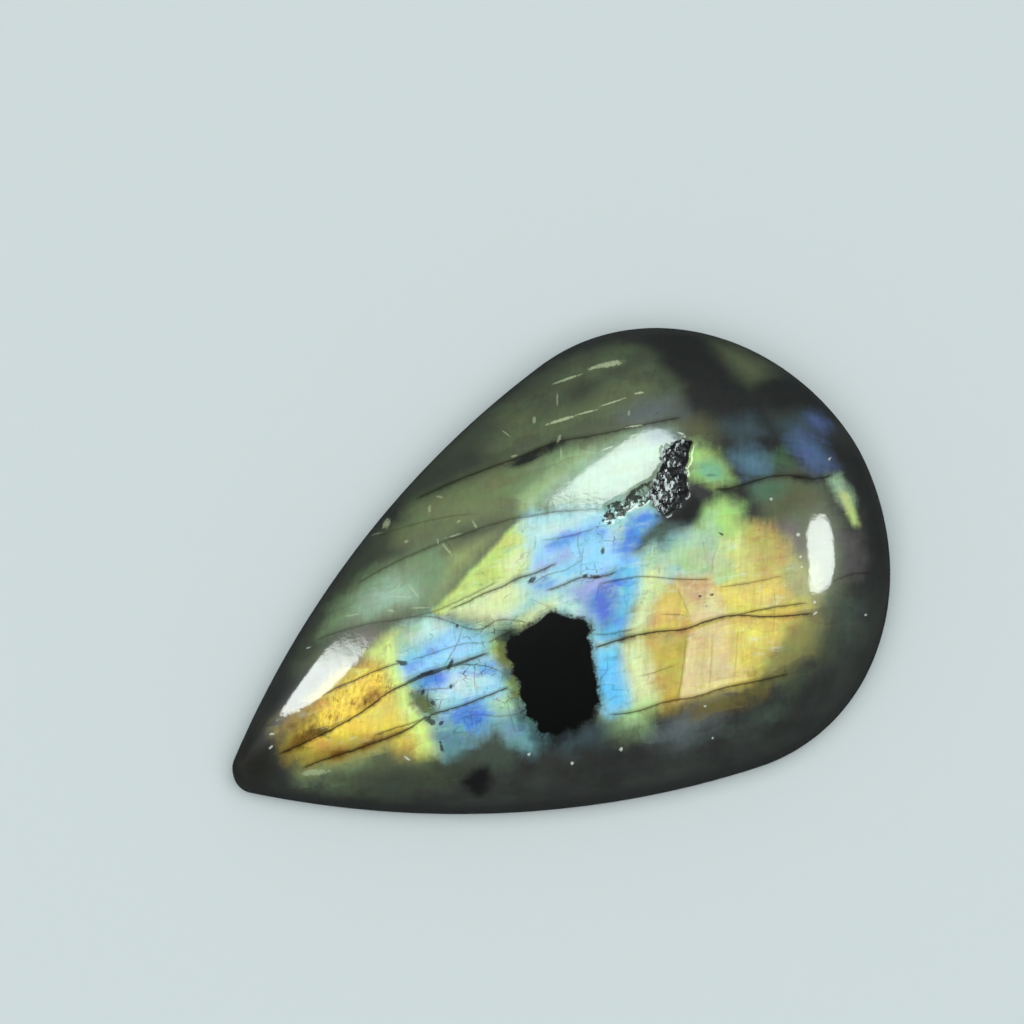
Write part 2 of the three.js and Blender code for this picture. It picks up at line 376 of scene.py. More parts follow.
# the glowing and brightly coloured tones paint the stone's labradorescent flash, a sheen, into its colour
tones = [
    ("toneOlive", paint(96, 108, 80), 0.9, 0.5, [
        [(-13.2, 3.2), (-11.5, 4.5), (-9.2, 6.0), (-6.8, 7.2), (-4.6, 7.9), (-3.4, 8.9), (-1.4, 10.0),
         (2, 10.9), (6, 11.3), (9.4, 10.9), (11.0, 9.4), (11.4, 6.8), (10.8, 4.4), (9.5, 2), (6, 1.5),
         (0, 1.5), (-6, 1.2), (-9.5, 1.2)],
        [(-16.0, -2.0), (-12, -2.6), (-10, -3.4), (-9, -4.2), (-7.8, -5.6), (-9.6, -5.5), (-12.4, -4.4),
         (-14.6, -3.2)],
        [(11.9, -0.2), (13.2, 0.2), (15.0, -0.6), (15.6, -2.0), (15.0, -5.4), (13.4, -7.4), (11.8, -9.0),
         (8.8, -9.9), (7.8, -8.8), (11, -6), (12, -3)],
        [(14.6, 8.6), (15.5, 8.0), (16.4, 6.6), (16.4, 5.2), (15.4, 5.0), (14.7, 5.4), (14.5, 7.2)],
    ]),
    ("toneThicket", paint(76, 86, 70), 0.5, 0.3, [
        [(-3.6, 8.4), (-0.5, 8.0), (2.0, 7.45), (4.5, 7.05), (6.4, 6.4), (8.6, 5.65), (10.9, 5.1),
         (11.4, 6.4), (11.4, 9.2), (9.6, 11.2), (5, 11.6), (1.5, 10.8), (-1.5, 9.8), (-3.4, 9.0)],
    ]),
    ("toneGlade", paint(98, 110, 80), 0.8, 0.7, [
        [(0.6, 8.5), (3.0, 7.9), (6.0, 7.2), (9.4, 6.3), (10.4, 6.6), (10.4, 8.4), (8.4, 8.6), (4.6, 9.0),
         (2.0, 9.2)],
        [(2.0, 8.9), (3.6, 8.4), (4.6, 9.2), (4.0, 10.4), (2.4, 10.2)],
        [(5.2, 10.0), (7.4, 10.5), (9.8, 10.2), (8.0, 9.6), (5.8, 9.6)],
    ]),
    ("toneUpland", paint(116, 130, 90), 0.8, 0.6, [
        [(-6.4, 6.3), (-5.4, 6.9), (-3.6, 7.8), (-2.4, 7.8), (0.4, 7.3), (2.4, 6.8), (5.0, 6.3),
         (5.8, 5.7), (4, 5.2), (1.4, 4.8), (-0.4, 4.9), (-2.2, 5.3), (-3.6, 6.0)],
    ]),
    ("toneMeadow", paint(150, 166, 110), 0.6, 0.5, [
        [(-5.6, 2.4), (-4.0, 3.0), (-2, 3.7), (0.3, 4.4), (-1.4, 4.55), (-3.6, 4.4), (-5.4, 3.6)],
    ]),
    ("toneShade", paint(64, 71, 59), 0.6, 0.5, [
        [(-9.4, 5.8), (-7.6, 6.05), (-6.4, 5.8), (-5.4, 5.7), (-5.8, 6.3), (-6.0, 7.2), (-7.4, 7.2),
         (-9.2, 6.4)],
        [(-4.0, 9.0), (-2.4, 8.2), (-0.4, 7.95), (1.0, 7.75), (0.7, 8.6), (0.3, 9.6), (-1.6, 9.8),
         (-3.4, 9.4)],
        [(6.2, 9.6), (7.2, 9.7), (7.6, 9.1), (7.0, 8.7), (6.2, 8.8)],
        [(4.6, 6.95), (6.4, 6.3), (8.4, 5.6), (10.6, 5.1), (8.6, 5.0), (6.4, 5.9), (4.8, 6.6)],
        [(-2.6, 5.1), (-0.6, 4.7), (1.0, 4.15), (0.4, 4.15), (-1.2, 4.3), (-2.9, 4.75)],
        [(-12.6, 4.1), (-10.5, 3.75), (-8.6, 3.0), (-7.0, 2.5), (-6.8, 2.1), (-8.8, 2.6), (-10.9, 3.3),
         (-12.8, 3.6)],
        [(-13.2, -3.6), (-11.4, -4.0), (-10.2, -4.8), (-9.6, -5.3), (-10.6, -5.6), (-12.4, -4.8)],
        [(-9.6, -4.5), (-8.0, -5.2), (-6.4, -5.3), (-5.6, -5.6), (-5.4, -6.6), (-8.0, -6.4), (-9.9, -5.4)],
        [(7.9, -9.3), (10.4, -9.4), (12.6, -8.5), (12.0, -9.4), (9.2, -10.0)],
    ]),
    ("toneDark", paint(42, 44, 43), 0.5, 0.5, [
        [(11.6, 10.6), (11.4, 8.2), (11.9, 6.6), (11.0, 5.3), (11.6, 4.4), (11.7, 3.2), (11.6, 1.2),
         (11.0, 0.2), (11.8, -1.2), (12.2, 0.1), (13, 0.1), (14.4, 0.0), (15.0, 0.8), (15.0, 3.2),
         (16.9, 2.8), (18.9, 1.2), (18.6, 4.6), (16.4, 5.2), (14.8, 5.0), (14.3, 6.4), (14.3, 9.2),
         (13.0, 10.9)],
        [(9.0, 1.1), (9.9, 0.6), (11.6, 0.5), (12.3, -0.4), (11.6, -1.7), (11.0, -1.2), (10.9, -0.2),
         (9.4, 0.1), (8.4, -0.5), (7.4, -0.3), (6.4, 0.1), (6.9, 0.7)],
        [(16.9, 0.6), (17.1, -2), (16.9, -4.6), (15.4, -7.6), (17.6, -5.6), (18.8, -0.6)],
    ]),
    # painted shade: the steep little tip is painted dark
    ("toneTip", paint(38, 38, 33), 0.8, 0.4, [
        [(-19.0, 0.6), (-17.4, 1.7), (-16.2, 1.3), (-16.3, -0.4), (-17.0, -1.4), (-18.4, -1.0)],
    ]),
    ("toneBark", paint(86, 90, 62), 0.7, 0.4, [
        [(10.4, 4.7), (11.6, 4.5), (12.0, 3.6), (11.5, 3.0), (10.6, 3.4)],
        [(12.6, -1.2), (14.4, -1.0), (15.1, -2.0), (14.4, -2.6), (13.2, -2.4), (12.4, -2.0)],
        [(-16.2, -0.5), (-15.7, 0.6), (-14.6, 1.1), (-13.8, 1.0), (-13.9, -1.7), (-15.5, -1.4)],
    ]),
    ("toneMoss", paint(124, 150, 112), 0.6, 0.45, [
        [(-11.5, 4.2), (-9.5, 5.2), (-7.5, 5.6), (-5.0, 5.4), (-3.9, 5.0), (-4.2, 3.6), (-5.2, 2.6),
         (-6.4, 2.6), (-8, 3.4), (-10, 4.0)],
        [(0.8, 4.6), (1.8, 4.6), (3.6, 5.3), (6.4, 5.6), (8.6, 5.3), (6.4, 6.0), (3.4, 6.4), (1.4, 5.9)],
        [(-9.9, 1.7), (-8, 2.3), (-6.4, 2.1), (-6.0, 1.6), (-7, 1.3), (-9, 1.2)],
        [(-15.6, -1.9), (-14.2, -2.1), (-12.6, -2.5), (-11.6, -2.9), (-12.6, -2.9), (-14.6, -2.4)],
        [(-0.6, -7.2), (0.6, -7.4), (1.8, -8.0), (1.4, -8.9), (0.2, -8.7), (-0.6, -8)],
        [(-3.9, 0.1), (-2.0, -0.2), (-1.2, -1.2), (-3.2, -1.6), (-3.6, -2.6), (-4.3, -2.0)],
    ]),
    # pale sage; its first patch is painted highlight haze along the top of the crown's highlight, its
    # second the stone's own colour
    ("toneSage", paint(164, 192, 136), 0.5, 0.4, [
        [(0.7, 4.5), (1.2, 5.2), (2.4, 5.5), (4.6, 5.8), (6.6, 5.6), (5.0, 5.2), (2.4, 4.7), (1.4, 4.2)],
        [(0.3, -7.0), (2.2, -7.1), (3.0, -7.9), (1.6, -8.1), (0.4, -7.8)],
    ]),
    ("toneFern", paint(80, 112, 86), 0.5, 0.35, [
        [(12.1, -0.2), (13.0, -0.2), (13.8, -0.6), (13.5, -1.1), (12.6, -1.2), (12.0, -0.9)],
        [(13.7, 1.0), (14.6, 0.9), (14.8, 0.0), (14.0, 0.0), (13.6, 0.4)],
    ]),
    ("toneSmoke", paint(96, 106, 108), 0.7, 0.35, [
        [(1.2, -9.3), (3.4, -8.75), (5.4, -9.1), (5.2, -9.9), (2.6, -10.0)],
        [(8.0, 6.6), (9.4, 6.8), (10.6, 6.2), (10.9, 5.4), (9.2, 5.4), (8.2, 5.9)],
        [(8.4, 4.95), (9.4, 4.9), (9.8, 4.3), (9.0, 4.4)],
    ]),
    ("toneDim", paint(66, 84, 90), 0.7, 0.4, [
        [(12.5, 3.5), (14, 3.3), (14.2, 2.3), (12.7, 2.3)],
        [(-3.3, -6.9), (-2, -7.1), (-0.6, -7.5), (-0.8, -8.1), (-2.6, -7.7)],
        [(15.2, 2.4), (16.8, 2.4), (16.8, 1.3), (15.3, 1.2)],
    ]),
    ("toneVeil", paint(70, 82, 72), 0.6, 0.5, [
        [(-8.0, -5.1), (-6.2, -5.0), (-5.2, -5.3), (-5.0, -6.4), (-5.8, -6.9), (-7.0, -6.5), (-7.8, -5.8)],
        [(5.4, -10.7), (6.6, -10.7), (8.0, -10.8), (8.2, -11.0), (7.0, -11.2)],
        [(13.4, -7.6), (14.4, -8.0), (14.0, -9.0), (12.8, -9.4)],
    ]),
    # greyish pink; its patches beside the two highlights are painted reflection haze
    ("toneMauve", paint(116, 108, 104), 0.4, 0.3, [
        [(12.1, -2.6), (13.2, -2.6), (13.4, -3.6), (12.8, -4.8), (12.3, -4.0)],
        [(-9.7, 3.0), (-9.0, 2.7), (-8.6, 2.2), (-9.8, 2.1), (-10.4, 2.8)],
        [(3.8, -8.75), (5.4, -8.8), (6.2, -9.2), (5.2, -9.4), (3.9, -9.1)],
    ]),
    # painted reflection haze: a grey-pink veil beside the highlight near the round end
    ("toneAsh", paint(86, 82, 84), 0.5, 0.3, [
        [(15.2, -4.4), (16.2, -4.6), (16.1, -5.8), (15.2, -6.6), (14.3, -6.4), (14.9, -5.4)],
    ]),
    # painted highlight haze: a pale veil under and around the crown's highlight, and beside the tail's
    ("toneHaze", paint(160, 192, 168), 0.7, 0.35, [
        [(-9.2, 4.3), (-8, 4.9), (-6.6, 4.8), (-6.1, 4.0), (-6.4, 3.2), (-7.4, 3.4), (-8.8, 3.9)],
        [(1.6, 4.4), (3.2, 5.0), (5.4, 5.4), (8.2, 5.2), (9.6, 4.6), (9.2, 3.6), (6.4, 2.6), (3.6, 3.0)],
    ]),
    ("glowTail", paint(138, 188, 190), 0.5, 0.35, [
        [(-9.4, 1.6), (-7.4, 2.1), (-6.0, 1.9), (-5.0, 1.0), (-4.0, 0.0), (-3.4, -1.2), (-3.6, -2.6),
         (-3.6, -4.4), (-3.9, -6.3), (-4.8, -6.3), (-5.6, -5.0), (-7.4, -4.7), (-8.8, -4.6), (-9.4, -3.4),
         (-9.4, -1)],
    ]),
    ("glowCentre", paint(172, 218, 212), 0.4, 0.3, [
        [(-3.2, 1.3), (-0.9, 1.4), (0.3, 3.9), (1.2, 4.2), (3, 3.1), (4.3, 2.5), (7.0, 2.0), (7.0, 0.7),
         (5.0, -0.2), (6.4, -0.3), (8.0, -0.7), (9.4, -2.4), (9, -4), (4, -3), (1.5, -3), (1.8, -5),
         (2.6, -7.2), (1.0, -7.5), (-0.3, -7.1), (-0.8, -3), (-1.4, -0.4), (-2.6, -0.5), (-3.4, 0.2)],
    ]),
    ("glowGold", paint(210, 194, 112), 0.55, 0.35, [
        [(5.4, -2.5), (7.6, -3.1), (9.2, -2.1), (10.6, -1.8), (11.9, -2.4), (12.3, -3.4), (12.0, -4.8),
         (11.6, -6.4), (11.8, -7.1), (10.6, -7.9), (8.4, -8.9), (6, -8.8), (3.4, -8.2), (1.6, -7.5),
         (2.2, -4.6), (4.0, -3.4)],
    ]),
    ("toneReed", paint(170, 172, 118), 0.6, 0.35, [
        [(11.2, -4.4), (12.4, -4.2), (12.9, -5.4), (12.6, -6.6), (11.6, -7.2), (10.8, -6.0)],
        [(3.0, -3.2), (4.0, -2.6), (5.0, -2.8), (4.6, -3.9), (3.4, -4.2)],
    ]),
    ("toneKhaki", paint(140, 136, 82), 0.6, 0.3, [
        [(10.4, -7.1), (12.0, -7.3), (12.3, -7.1), (12.1, -7.9), (10.9, -9.0), (8.8, -9.4), (7.6, -8.9),
         (8.9, -8.3)],
        [(-11.6, -2.8), (-10.7, -3.0), (-10.2, -3.6), (-9.7, -4.2), (-10.4, -3.9), (-11.2, -3.2)],
    ]),
    ("toneUmber", paint(106, 97, 56), 0.35, 0.3, [
        [(1.4, -7.7), (2.8, -8.0), (3.6, -8.3), (3.2, -8.8), (2.0, -8.4), (1.3, -8.0)],
        [(3.8, -8.75), (6.0, -9.2), (8.2, -9.6), (7.8, -10.0), (5.8, -9.9), (3.6, -9.3)],
    ]),
    ("toneGold", paint(252, 223, 102), 0.7, 0.3, [
        [(-15.4, -0.6), (-15.0, 0.6), (-13.4, 1.0), (-11.5, 1.3), (-9.7, 1.45), (-9.1, 1.0), (-9.3, 0),
         (-9.4, -1), (-9.5, -2.2), (-9.4, -2.9), (-10.9, -2.7), (-12.2, -2.3), (-13.8, -1.8),
         (-14.9, -1.3)],
        [(-10.9, -2.75), (-9.6, -2.85), (-9.4, -3.8), (-10.0, -3.8), (-10.7, -3.35)],
    ]),
    ("toneBronze", paint(150, 128, 58), 0.7, 0.6, [
        [(-16.0, -0.5), (-15.7, 0.7), (-14.8, 1.1), (-13.8, 0.9), (-14.0, 0.1), (-14.4, -0.5)],
        [(-15.4, -1.2), (-14.2, -1.4), (-12.6, -1.9), (-12.4, -2.3), (-14.0, -2.0), (-15.2, -1.6)],
    ]),
    ("toneTan", paint(194, 180, 106), 0.6, 0.4, [
        [(9.9, -2.0), (11.2, -2.1), (12.0, -3.2), (11.8, -4.6), (10.4, -4.7), (9.6, -3.6)],
    ]),
    ("toneDeepGold", paint(214, 186, 96), 0.6, 0.25, [
        [(4.3, -3.6), (6.1, -2.9), (6.1, -5.2), (4.6, -4.9), (3.9, -4.4)],
        [(9.0, -6.1), (10.4, -6.4), (11.6, -6.9), (10.7, -7.2), (9.6, -6.9)],
    ]),
    ("toneSprout", paint(186, 218, 150), 0.4, 0.3, [
        [(0.5, -7.2), (2.1, -7.3), (2.4, -7.9), (1.3, -8.0), (0.6, -7.8)],
    ]),
    ("toneOchre", paint(198, 178, 88), 0.6, 0.25, [
        [(3.3, -5.0), (5.5, -5.5), (4.4, -7.2), (3.4, -8.3), (2.5, -8.0), (3.0, -6.6)],
    ]),
    ("tonePeach", paint(228, 208, 152), 0.08, 0.05, [
        [(5.45, -5.5), (6.4, -5.6), (7.6, -5.75), (7.6, -7.0), (7.2, -8.95), (5.0, -8.55), (3.35, -8.35),
         (4.0, -7.5), (4.8, -6.4)],
        [(6.0, -2.8), (6.8, -3.1), (7.85, -3.6), (7.9, -4.6), (7.7, -5.6), (6.3, -5.35), (5.85, -5.2)],
    ]),
    ("toneRose", paint(216, 192, 138), 0.4, 0.3, [
        [(6.2, -3.2), (7.2, -3.5), (7.0, -4.3), (6.2, -4.6)],
        [(5.6, -5.8), (6.4, -6.1), (5.9, -6.9), (5.1, -6.9)],
    ]),
    ("toneCream", paint(218, 216, 166), 0.4, 0.3, [
        [(6.9, -4.4), (7.6, -4.1), (7.6, -5.4), (6.8, -5.3)],
        [(2.1, -5.2), (2.9, -5.3), (2.8, -6.4), (2.2, -6.7)],
    ]),
    ("toneCorn", paint(230, 214, 116), 0.5, 0.3, [
        [(4.5, -3.7), (5.9, -3.2), (5.9, -4.7), (4.7, -4.6)],
        [(7.8, -4.2), (9.6, -4.6), (11.0, -5.1), (10.9, -6.0), (9.6, -6.0), (8.4, -5.8), (7.8, -5.4)],
        [(7.6, -5.9), (8.8, -6.2), (10.2, -7.1), (9.8, -7.6), (8.6, -8.2), (7.6, -8.8), (6.4, -8.7),
         (7.0, -7.4)],
        [(-11.6, -0.9), (-9.8, -0.8), (-9.8, -1.9), (-11.4, -1.7)],
    ]),
    ("toneRusset", paint(184, 156, 102), 0.25, 0.3, [
        [(3.4, -4.6), (4.4, -4.9), (5.4, -5.25), (5.3, -5.45), (4.2, -5.25), (3.5, -4.95)],
        [(6.4, -3.0), (7.6, -3.5), (7.8, -3.9), (6.8, -3.5)],
    ]),
    ("toneLime", paint(202, 226, 130), 0.14, 0.1, [
        [(-5.9, 2.05), (-4.5, 2.45), (-2.5, 3.15), (-0.5, 3.85), (0.8, 4.15), (0.9, 2.6), (0.0, 1.6),
         (-3.5, 1.4), (-5.6, 1.6)],
    ]),
    ("toneLemon", paint(206, 226, 132), 0.35, 0.2, [
        [(4.4, -2.1), (5.0, -1.9), (5.5, -2.5), (5.0, -3.0), (4.5, -2.8)],
        [(-9.9, 1.9), (-8.6, 2.2), (-7.8, 2.0), (-8.4, 1.4), (-9.7, 1.3)],
    ]),
    ("toneStraw", paint(222, 238, 180), 0.5, 0.3, [
        [(1.9, -4.4), (2.9, -4.6), (2.6, -6), (2.3, -7.4), (1.5, -7.4), (1.4, -7.0), (1.7, -5.6)],
        [(5.0, -1.3), (6.0, -1.5), (5.6, -2.3), (4.6, -3.1), (3.6, -4.2), (2.6, -4.0), (3.6, -3.0),
         (4.4, -2.0)],
        [(-5.2, 1.6), (-3.4, 1.7), (-1.4, 1.6), (-1.3, 0.3), (-2.6, -0.2), (-3.9, 0.1)],
        [(-1.6, 2.4), (-0.4, 2.8), (0.3, 3.2), (0.4, 2.2), (-0.6, 1.4), (-1.6, 1.5)],
        [(-2.3, -0.7), (-1.4, -0.5), (0.1, -0.5), (0.3, -0.9), (-0.6, -1.15), (-2.4, -1.15)],
    ]),
    ("toneChartreuse", paint(224, 252, 146), 0.55, 0.3, [
        [(-9.3, 1.5), (-8.7, 1.6), (-8.4, 1.2), (-8.8, 0.2), (-8.8, -0.8), (-8.8, -2.6), (-8.9, -3.4),
         (-9.0, -4.4), (-9.7, -4.0), (-9.8, -2.6), (-9.7, -0.8)],
    ]),
    ("toneSpring", paint(178, 220, 130), 0.55, 0.4, [
        [(8.6, -0.9), (9.3, -0.1), (10.4, -0.1), (10.9, -0.9), (10.7, -2.2), (9.9, -2.6), (9.0, -1.9)],
        [(9.6, 2.9), (10.5, 3.1), (11.0, 2.7), (11.3, 1.9), (11.3, 0.8), (10.4, 0.8), (9.8, 1.5)],
    ]),
    ("toneMint", paint(176, 210, 172), 0.4, 0.35, [
        [(5.0, -0.8), (6.0, -0.5), (7.4, -0.6), (8.8, -1.2), (8.6, -2.2), (7.4, -2.4), (6.2, -2.0),
         (5.2, -1.4)],
        [(8.9, -0.8), (9.5, -0.6), (9.4, -1.4), (8.9, -1.6)],
        [(-5.4, -3.7), (-4.3, -3.7), (-4.0, -4.7), (-4.6, -4.9), (-5.4, -4.3)],
        [(-8.3, 1.7), (-7.2, 2.0), (-6.2, 1.7), (-5.6, 1.1), (-6.6, 0.9), (-7.8, 0.8)],
        [(16.2, -1.4), (16.7, -1.5), (16.75, -2.6), (16.5, -3.2), (16.2, -3.0), (16.15, -2.0)],
    ]),
    ("toneLichen", paint(180, 204, 156), 0.3, 0.35, [
        [(6.6, -1.8), (7.8, -1.6), (9.0, -1.9), (8.4, -2.8), (8.0, -3.4), (6.9, -2.8)],
    ]),
    ("toneFrost", paint(192, 212, 158), 0.12, 0.1, [
        [(7.95, -3.5), (8.3, -2.8), (8.8, -2.3), (9.3, -1.9), (9.8, -2.5), (9.7, -3.4), (9.0, -4.1),
         (7.9, -4.0)],
    ]),
    ("toneWillow", paint(216, 224, 140), 0.45, 0.35, [
        [(9.3, -2.2), (10.3, -2.2), (10.3, -3.7), (9.4, -4.5), (8.7, -4.2), (9.1, -3.3)],
    ]),
    ("toneStreak", paint(200, 214, 142), 0.22, 0.2, [
        [(16.3, -2.35), (16.7, -2.45), (16.6, -3.3), (16.5, -4.2), (16.15, -4.2), (16.2, -3.2)],
    ]),
    ("toneJade", paint(120, 176, 134), 0.28, 0.25, [
        [(9.9, 2.3), (10.6, 2.4), (11.1, 2.1), (11.25, 1.4), (11.1, 0.9), (10.5, 1.0), (10.05, 1.5)],
    ]),
    ("toneLagoon", paint(112, 160, 166), 0.5, 0.3, [
        [(-5.5, -4.8), (-4.0, -4.8), (-3.7, -6.3), (-4.6, -6.8), (-5.4, -5.9)],
        [(6.1, -0.35), (7.3, -0.3), (7.7, -0.8), (6.6, -1.0)],
        [(-8.8, -3.8), (-7.8, -3.9), (-7.5, -4.9), (-8.6, -5.0)],
    ]),
    ("toneSoot", paint(176, 192, 96), 0.3, 0.5, [
        [(-4.7, -1.1), (-3.9, -0.95), (-3.2, -1.3), (-3.5, -2.6), (-4.0, -2.4), (-4.3, -1.8)],
        [(-4.3, -3.3), (-3.7, -3.0), (-3.6, -4.2), (-4.1, -4.0)],
    ]),
    ("toneWedge", paint(66, 88, 80), 0.35, 0.6, [
        [(4.5, -0.3), (5.4, 0.1), (6.6, 0.4), (7.4, 0.2), (8.2, -0.3), (7.2, -0.5), (6.0, -0.45),
         (5.0, -0.65)],
        [(-9.0, -1.2), (-8.2, -1.2), (-7.7, -2.0), (-8.1, -2.8), (-8.9, -2.7)],
        [(-3.3, -0.9), (-2.6, -0.9), (-2.4, -1.3), (-3.2, -1.8)],
    ]),
    ("toneSky", paint(160, 220, 252), 0.5, 0.35, [
        [(0.7, 4.1), (1.3, 3.95), (3, 3.1), (4.2, 2.4), (4.3, 1.6), (4.2, 0.4), (4.4, -0.2), (4.6, -0.9),
         (3, -0.75), (2, -0.35), (0, 0.0), (-0.5, 0.5), (-0.2, 1.5), (0.5, 2.8)],
        [(-8.5, 0.6), (-7.2, 0.8), (-5.8, 0.7), (-4.9, 0.2), (-4.4, -1.0), (-4.4, -2.4),
         (-4.6, -3.4), (-5.6, -3.4), (-7.2, -3.0), (-7.6, -2.2), (-8.0, -1.2), (-8.6, -0.4)],
    ]),
    ("toneIce", paint(198, 234, 232), 0.45, 0.4, [
        [(0.3, 3.7), (1.0, 4.0), (2.6, 3.3), (4.2, 2.5), (3.0, 2.2), (1.2, 2.4), (0.1, 2.7)],
        [(-6.9, -1.8), (-5.8, -1.3), (-4.9, -1.7), (-4.9, -2.7), (-6.2, -2.9), (-7.0, -2.5)],
        [(-8.2, -1.7), (-7.3, -1.8), (-7.0, -2.4), (-7.8, -2.7), (-8.1, -2.3)],
        [(0.2, -0.6), (0.8, -0.8), (1.1, -1.6), (0.7, -2.0)],
        [(-0.6, 1.1), (0.6, 1.0), (0.8, 0.4), (-0.3, 0.4)],
        [(-7.4, 1.3), (-6.4, 1.5), (-5.8, 1.1), (-6.8, 1.0)],
    ]),
    ("toneFrond", paint(94, 116, 66), 0.3, 0.6, [
        [(-8.9, -1.4), (-8.3, -1.4), (-8.0, -2.1), (-8.3, -2.9), (-8.9, -2.7)],
    ]),
    ("toneCyan", paint(116, 202, 248), 0.42, 0.2, [
        [(4.9, -0.8), (4.6, -1.5), (3.9, -2.4), (3.1, -3.2), (2.2, -3.9), (1.2, -3.8), (0.8, -3.3),
         (2.2, -3.0), (3.0, -2.2), (3.5, -1.3), (3.6, -0.8), (4.2, -0.5)],
        [(1.0, -4.1), (1.8, -4.3), (1.5, -5.2), (1.2, -6.5), (0.9, -7.2), (-0.1, -7.1), (-0.3, -6.2),
         (0.1, -5), (0.5, -4)],
    ]),
    ("toneBlue", paint(92, 150, 226), 0.35, 0.45, [
        [(4.3, 0.1), (4.9, 0.8), (5.7, 1.3), (6.6, 1.2), (6.8, 0.7), (5.8, 0.4), (4.9, -0.2), (4.4, -0.4)],
        [(-8.3, 0.3), (-7.2, 0.3), (-6.8, 0.0), (-8.2, -0.1)],
        [(-8.5, -0.9), (-7.4, -0.9), (-6.9, -1.2), (-7.4, -1.6), (-8.2, -1.4)],
        [(-5.9, -1.5), (-5.2, -1.6), (-4.5, -2.1), (-4.5, -2.5), (-5.2, -2.1)],
        [(-0.5, 0.8), (0.3, 0.7), (0.4, 0.2), (-0.4, 0.3)],
        [(1.1, 2.15), (2.4, 2.1), (3.6, 1.8), (3.9, 1.4), (2.4, 1.75), (1.4, 1.9)],
        [(-7.9, -3.0), (-6.9, -3.05), (-5.9, -3.4), (-5.8, -4.2), (-6, -4.7), (-7, -4.5), (-7.6, -3.9)],
        [(3.0, -0.9), (3.8, -0.9), (3.6, -1.7), (3.0, -1.9)],
    ]),
    ("toneSteel", paint(92, 128, 148), 0.6, 0.35, [
        [(11.9, 1.8), (13.2, 1.7), (13.7, 0.9), (13.2, 0.2), (12.2, 0.5)],
        [(-8.6, -3.7), (-7.8, -3.8), (-7.7, -4.6), (-8.5, -4.6)],
    ]),
    ("toneDusk", paint(84, 104, 142), 0.5, 0.35, [
        [(15.3, 1.4), (16.2, 1.6), (16.8, 0.6), (16.8, -0.9), (15.6, -0.9), (15.2, -0.2)],
        [(16.9, 2.3), (17.5, 2.2), (17.8, 1.5), (17.2, 1.1), (16.9, 1.5)],
        [(8.6, 4.9), (9.4, 4.7), (9.6, 4.3), (9.0, 4.5)],
    ]),
    ("toneViolet", paint(94, 126, 216), 0.5, 0.35, [
        [(1.3, -1.2), (2.2, -0.95), (3.0, -1.2), (3.0, -2.1), (2.5, -3.0), (1.6, -3.2), (1.2, -2.2)],
        [(-7.3, -3.4), (-6.5, -3.5), (-6.4, -4.0), (-7.0, -4.0)],
    ]),
    ("toneLavender", paint(164, 174, 222), 0.35, 0.25, [
        [(0.7, -0.35), (2.0, -0.55), (3.0, -0.95), (2.0, -1.1), (1.4, -1.5), (1.0, -1.0)],
        [(0.1, 1.3), (1.8, 1.3), (1.9, 0.95), (0.2, 0.95)],
    ]),
    ("toneStain", paint(112, 82, 30), 0.22, 0.4, [
        [(-11.6, -0.45), (-11.0, 0.0), (-10.3, -0.1), (-10.0, -0.5), (-11.3, -0.65)],
        [(-16.0, -0.45), (-15.2, -0.1), (-14.4, -0.15), (-13.4, -0.55), (-12.4, -0.6), (-15.2, -0.75)],
        [(-14.8, -1.7), (-13, -2.0), (-11.2, -2.35), (-10.0, -2.75), (-11, -2.75), (-13, -2.3)],
        [(-15.4, 0.6), (-15.1, 0.9), (-14.8, 0.5), (-15.1, 0.3)],
    ]),
    ("toneNight", paint(26, 27, 27), 0.22, 0.3, [
        [(6.9, 0.75), (8.2, 0.6), (9.2, 1.1), (9.4, 0.3), (8.7, -0.35), (8.0, -0.2), (7.3, 0.2)],
        [(1.6, 7.38), (2.6, 7.42), (4.4, 7.02), (4.5, 6.85), (2.6, 6.9), (1.9, 7.0)],
        [(-8.6, -6.4), (-7.8, -6.1), (-7.1, -6.4), (-7.1, -7.1), (-8.0, -7.3)],
        [(14.2, -0.3), (15.2, -0.8), (15.3, -1.2), (14.4, -0.8)],
    ]),
]

# The tones that glow, the painted labradorescent sheen, and so carry milky and murky streaks
flashTones = ["glowTail", "glowCentre", "glowGold", "toneGold", "toneLime", "toneSky"]

inclusion = [
    (-3.35, -1.5), (-2.9, -1.22), (-2.45, -1.3), (-2.0, -1.2), (-1.2, -1.22), (-0.85, -1.08), (-0.4, -1.12),
    (0.0, -1.5), (0.4, -2.0), (0.78, -2.2), (0.98, -2.55), (0.92, -3.0), (0.62, -3.2), (0.6, -3.7),
    (0.35, -4.2), (0.15, -4.8), (0.0, -5.5), (-0.25, -5.9), (-0.3, -6.4), (-0.75, -6.5), (-1.1, -6.9),
    (-1.7, -6.8), (-2.1, -7.0), (-2.5, -6.7), (-3.1, -6.8), (-3.4, -6.5), (-3.9, -6.3), (-3.75, -5.7),
    (-4.1, -5.2), (-3.85, -4.6), (-3.95, -4.1), (-3.55, -3.6), (-3.75, -3.0), (-3.4, -2.6), (-3.6, -2.1),
]

# Where a fine net of cracks shows
netZones = [
    [(-9.0, -1.0), (-8.0, -0.9), (-7.2, -1.6), (-7.4, -2.7), (-8.2, -3.4), (-8.9, -3.2)],
    [(-5.4, 0.7), (-3.6, 0.5), (-1.6, -0.5), (-1.5, -1.2), (-4.4, -1.2), (-5.6, -0.2)],
    [(-6.8, -0.6), (-4.4, -1.2), (-4.1, -3.2), (-6.2, -2.2)],
    [(-1.0, 1.4), (0.2, 1.1), (0.4, 0.3), (-0.9, 0.4)],
    [(1.2, 0.4), (3.0, 0.2), (3.8, -1.0), (1.8, -0.9)],
    [(3.5, 2.1), (5.2, 1.9), (5.4, 0.8), (4.2, 0.3), (3.4, 1.0)],
    [(-5.4, -3.4), (-4.0, -3.4), (-3.9, -5.2), (-5.2, -4.6)],
]

